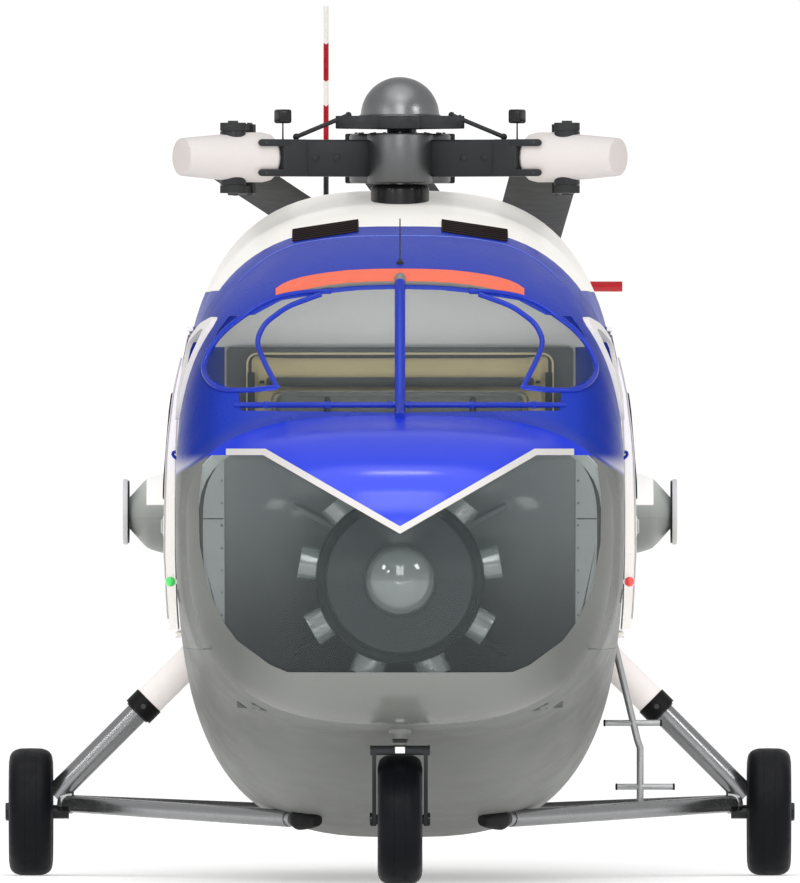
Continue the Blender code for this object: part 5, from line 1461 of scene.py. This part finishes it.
# ---------------------------------------------------------------- seat: cushions swelled by a short cloth simulation
def rounded_block(x0, x1, y0, y1, z0, z1, r):
    bm = bmesh.new()
    bmesh.ops.create_cube(bm, size=1.0)
    for v in bm.verts:
        v.co = Vector(((x0 + x1) / 2 + v.co.x * (x1 - x0), (y0 + y1) / 2 + v.co.y * (y1 - y0), (z0 + z1) / 2 + v.co.z * (z1 - z0)))
    bmesh.ops.bevel(bm, geom=list(bm.edges), offset=r, segments=4, profile=0.5, affect="EDGES", clamp_overlap=True)
    return bm


def cushion(name, bm, mat, node, limits, cap, voxel=0.013, pressure=4.0):
    """Remeshes a smaller form, swells it as a cloth bag under pressure, and keeps it inside its limits."""
    mesh = bpy.data.meshes.new(name)
    bm.transform(SHIFT)
    bm.to_mesh(mesh)
    bm.free()
    obj = bpy.data.objects.new(name, mesh)
    bpy.context.scene.collection.objects.link(obj)
    mod = obj.modifiers.new("even", "REMESH")
    mod.mode = "VOXEL"
    mod.voxel_size = voxel
    graph = bpy.context.evaluated_depsgraph_get()
    even = bpy.data.meshes.new_from_object(obj.evaluated_get(graph))
    obj.modifiers.clear()
    obj.data = even
    start = [v.co.copy() for v in even.vertices]
    cloth = obj.modifiers.new("swell", "CLOTH")
    cloth.settings.quality = 4
    cloth.settings.mass = 0.25
    cloth.settings.tension_stiffness = 14.0
    cloth.settings.compression_stiffness = 14.0
    cloth.settings.shear_stiffness = 7.0
    cloth.settings.bending_stiffness = 0.6
    cloth.settings.use_pressure = True
    cloth.settings.uniform_pressure_force = pressure
    cloth.settings.effector_weights.gravity = 0.0
    cloth.point_cache.frame_start, cloth.point_cache.frame_end = 1, 20
    scene = bpy.context.scene
    for frame_no in range(1, 21):
        scene.frame_set(frame_no)
    graph = bpy.context.evaluated_depsgraph_get()
    end = [v.co.copy() for v in obj.evaluated_get(graph).data.vertices]
    obj.modifiers.remove(cloth)
    scene.frame_set(1)
    (x0, x1), (y0, y1), (z0, z1) = limits
    for v, a, b in zip(even.vertices, start, end):
        d = b - a
        q = a + d * min(1.0, cap / d.length) if d.length > 1e-9 else a
        v.co = (min(max(q.x, x0), x1), min(max(q.y, y0 + FRAME_Y), y1 + FRAME_Y), min(max(q.z, z0), z1))
    even.materials.clear()
    even.materials.append(mat)
    for poly in even.polygons:
        poly.use_smooth = True
    finer = obj.modifiers.new("finer", "SUBSURF")
    finer.levels = finer.render_levels = 1
    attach(obj, "fuselage")
    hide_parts(node)
    return obj


cushion("seat_back_pad", rounded_block(-0.755, 0.755, -1.495, -1.402, 2.292, 2.615, 0.030), beige_cloth, "seat_back",
        ((-0.7655, 0.7655), (-1.530, -1.4006), (2.281, 2.6255)), 0.020)
cushion("seat_cushion_pad", rounded_block(-0.630, 0.630, -1.970, -1.530, 2.305, 2.418, 0.035), dark_cloth, "seat_cushion",
        ((-0.6405, 0.6405), (-1.985, -1.5215), (2.3005, 2.4325)), 0.018)
p = Piece("roll_form")
form = p.bm
tmp = Piece("roll_source")
tmp.lathe([(0, -0.664), (0.016, -0.664), (0.0225, -0.658), (0.0255, -0.645), (0.0255, 0.645), (0.0225, 0.658), (0.016, 0.664), (0, 0.664)], (0, -1.556, 2.4775), (1, 0, 0), dark_cloth, 28)
cushion("seat_roll_pad", tmp.bm, dark_cloth, "seat_roll", ((-0.674, 0.674), (-1.600, -1.5225), (2.440, 2.515)), 0.006, 0.008, 3.0)
form.free()

# piping along the pads' front edges, dark slots at the back's sides, the roll's brackets, and the seat's base
p = Piece("seat_trim")
edge = [(x, -1.506, z) for x, z in rounded(-0.757, 0.757, 2.292, 2.618, 0.050, 6)]
p.tube(edge, 0.0058, beige_piping, 10, closed=True)
for s in (-1, 1):
    x0, x1 = sorted((s * 0.755, s * 0.720))
    p.box(x0, x1, -1.528, -1.498, 2.312, 2.526, engine_dark, 0.004)
front = [(x, -1.968, z) for x, z in rounded(-0.632, 0.632, 2.318, 2.424, 0.036, 6)]
p.tube(front, 0.0050, dark_cloth, 10, closed=True)
for s in (-1, 1):
    p.tube([(s * 0.672, -1.556, 2.4775), (s * 0.690, -1.556, 2.4775), (s * 0.690, -1.510, 2.4775)], 0.008, dark_metal, 10)
p.done()
p = Piece("seat_base")
p.box(-0.635, 0.635, -1.945, -1.528, 2.0606, 2.2995, panel_dark, 0.012, segments=3)
for k in range(5):
    x = -0.48 + 0.24 * k
    p.lathe([(0, 0), (0.016, 0), (0.016, 0.003), (0.012, 0.005), (0, 0.005)], (x, -1.945, 2.18), (0, -1, 0), engine_dark, 20)
p.done(30, ("seat_cushion",))

# controls ahead of the seat, low enough to stay out of the front view's window
p = Piece("cockpit_controls")
for s in (-1, 1):
    p.tube(eased([(s * 0.36, -2.05, 2.061), (s * 0.36, -2.06, 2.20), (s * 0.36, -2.02, 2.36)], 0.05, 5), 0.011, engine_dark, 12)
    p.lathe([(0, -0.045), (0.012, -0.045), (0.016, -0.030), (0.015, 0.030), (0.010, 0.042), (0, 0.045)], (s * 0.36, -2.02, 2.36), (0, 0.2, 1), black_rubber, 20)
    for q in (-0.09, 0.09):
        p.box(s * 0.36 + q - 0.045, s * 0.36 + q + 0.045, -2.30, -2.285, 2.061, 2.16, dark_metal, 0.004)
p.done()


# ---------------------------------------------------------------- smooth shading of the CAD nodes that stay
def soften(angle, *names):
    """Normals shared at each corner by the faces that turn by less than angle. The mesh itself stays."""
    limit = math.cos(math.radians(angle))
    for name in names:
        mesh = nodes[name].data
        at = {}
        for poly in mesh.polygons:
            poly.use_smooth = True
            for k in poly.loop_indices:
                co = mesh.vertices[mesh.loops[k].vertex_index].co
                at.setdefault((round(co.x, 5), round(co.y, 5), round(co.z, 5)), []).append((k, poly.index))
        faces = [(p.normal.copy(), p.area) for p in mesh.polygons]
        normals = [None] * len(mesh.loops)
        for entries in at.values():
            for k, f in entries:
                total = Vector()
                for _, g in entries:
                    if faces[g][0].dot(faces[f][0]) > limit:
                        total += faces[g][0] * faces[g][1]
                normals[k] = total.normalized() if total.length > 1e-12 else faces[f][0]
        mesh.normals_split_custom_set(normals)


soften(30, "cuff_a", "cuff_b", "cuff_c", "blade_a", "blade_b", "blade_c", "oleo_cylinder_l", "oleo_cylinder_r", "boarding_step", "nose_leg", "nose_fork",
       "tail_rotor", "tail_pylon", "cockpit_window_frame_l", "cockpit_window_frame_r", "cockpit_window_glass_l", "cockpit_window_glass_r")
soften(38, "main_leg_l", "main_leg_r")
soften(18, "cabin_door_l", "cabin_door_r", "door_glass_l", "door_glass_r")


def coat(mat, *names):
    for n in names:
        data = nodes[n].data
        data.materials.clear()
        data.materials.append(mat)


coat(clear_pane, "cockpit_window_glass_l", "cockpit_window_glass_r", "door_glass_l", "door_glass_r")
coat(window_white, "cockpit_window_frame_l", "cockpit_window_frame_r")
coat(door_paint, "cabin_door_l", "cabin_door_r")
coat(pink_white, "cuff_a", "cuff_b", "cuff_c")
coat(floor_metal, "cabin_floor", "cockpit_deck")
coat(lining, "cockpit_wall")
coat(panel_dark, "seat_panel")
coat(bay_panel, "engine_bay_panel")
coat(oleo_paint, "oleo_cylinder_l", "oleo_cylinder_r")
coat(leg_metal, "main_leg_l", "main_leg_r")
coat(bright_steel, "boarding_step")
coat(grey_paint, "nose_leg")
coat(dark_metal, "nose_fork")
coat(blade_paint, "blade_a", "blade_b", "blade_c")
coat(pylon_paint, "tail_pylon")
coat(tail_rotor_paint, "tail_rotor")


# ---------------------------------------------------------------- floor and light
def world_light():
    world = bpy.data.worlds.new("studio")
    bpy.context.scene.world = world
    world.use_nodes = True
    tree = world.node_tree
    back = tree.nodes["Background"]
    where = tree.nodes.new("ShaderNodeTexCoord")
    split = tree.nodes.new("ShaderNodeSeparateXYZ")
    rise = tree.nodes.new("ShaderNodeMath")
    rise.operation = "ABSOLUTE"
    level = tree.nodes.new("ShaderNodeMapRange")
    level.interpolation_type = "SMOOTHSTEP"
    tree.links.new(where.outputs["Generated"], split.inputs[0])
    tree.links.new(split.outputs[2], rise.inputs[0])
    tree.links.new(rise.outputs[0], level.inputs[0])
    for socket, value in zip(list(level.inputs)[1:], (0.06, 0.36, 0.90, 0.62)):
        socket.default_value = value
    horizon = tree.nodes.new("ShaderNodeMapRange")
    horizon.interpolation_type = "SMOOTHSTEP"
    tree.links.new(rise.outputs[0], horizon.inputs[0])
    for socket, value in zip(list(horizon.inputs)[1:], (0.020, 0.050, 0.16, 0.0)):
        socket.default_value = value
    total = tree.nodes.new("ShaderNodeMath")
    total.operation = "ADD"
    tree.links.new(level.outputs[0], total.inputs[0])
    tree.links.new(horizon.outputs[0], total.inputs[1])
    tree.links.new(total.outputs[0], back.inputs["Strength"])
    back.inputs["Color"].default_value = (1.0, 1.0, 1.0, 1.0)


def softbox(name, at, aim, size, power, colour=(1, 1, 1), seen=True):
    data = bpy.data.lights.new(name, "AREA")
    data.shape = "RECTANGLE"
    data.size, data.size_y = size
    data.energy = power
    data.color = colour
    obj = bpy.data.objects.new(name, data)
    bpy.context.scene.collection.objects.link(obj)
    obj.location = at
    obj.rotation_euler = (Vector(aim) - Vector(at)).to_track_quat("-Z", "Y").to_euler()
    obj.visible_camera = seen
    return obj


def sun(name, towards, strength, angle):
    data = bpy.data.lights.new(name, "SUN")
    data.energy = strength
    data.angle = math.radians(angle)
    obj = bpy.data.objects.new(name, data)
    bpy.context.scene.collection.objects.link(obj)
    obj.rotation_euler = Vector(towards).to_track_quat("-Z", "Y").to_euler()


world_light()
sun("sun_high", (0.03, 0.30, -1.0), 1.05, 60)
softbox("front_high", (0.0, -22.0, 11.0), (0, -7.0, 1.8), (7, 11), 900)
softbox("overhead_strip", (0.0, -7.3, 9.5), (0, -7.1, 2.0), (1.5, 0.5), 38, seen=False)
low = softbox("front_low", (0.0, -15.0, 0.30), (0, -5.5, 0.9), (9, 0.8), 420, seen=False)
low.visible_glossy = False
softbox("cockpit_fill", (0.0, -2.62 + FRAME_Y, 2.29), (0, -1.4 + FRAME_Y, 2.66), (1.5, 0.12), 4.5, seen=False)

for k, (at, aim, size, power) in enumerate((((-6.6, -10.2, 6.6), (0, -6.8, 1.5), 1.7, 16.0), ((7.0, -9.6, 6.9), (0, -6.8, 1.5), 2.2, 26.0),
                                            ((-5.2, -13.0, 5.2), (0, -6.8, 1.5), 1.0, 6.0))):
    spot = softbox("front_spot_%d" % k, at, aim, (size, size), 4.5 * power, seen=False)
    spot.visible_diffuse = False

s = Shade("studio_floor", (0.88, 0.88, 0.875), 0.8, Emission_Color=(1.0, 1.0, 1.0, 1.0), Emission_Strength=0.32, Specular_IOR_Level=0.1)
s.tone(0.006, 0.2, 3.0)
s.relief(s.noise(30.0, 3.0), 0.0004)
floor_paint = s.made()
bm = bmesh.new()
bmesh.ops.create_grid(bm, x_segments=8, y_segments=8, size=26.0)
mesh = bpy.data.meshes.new("floor")
bm.to_mesh(mesh)
bm.free()
mesh.materials.append(floor_paint)
floor = bpy.data.objects.new("floor", mesh)
bpy.context.scene.collection.objects.link(floor)
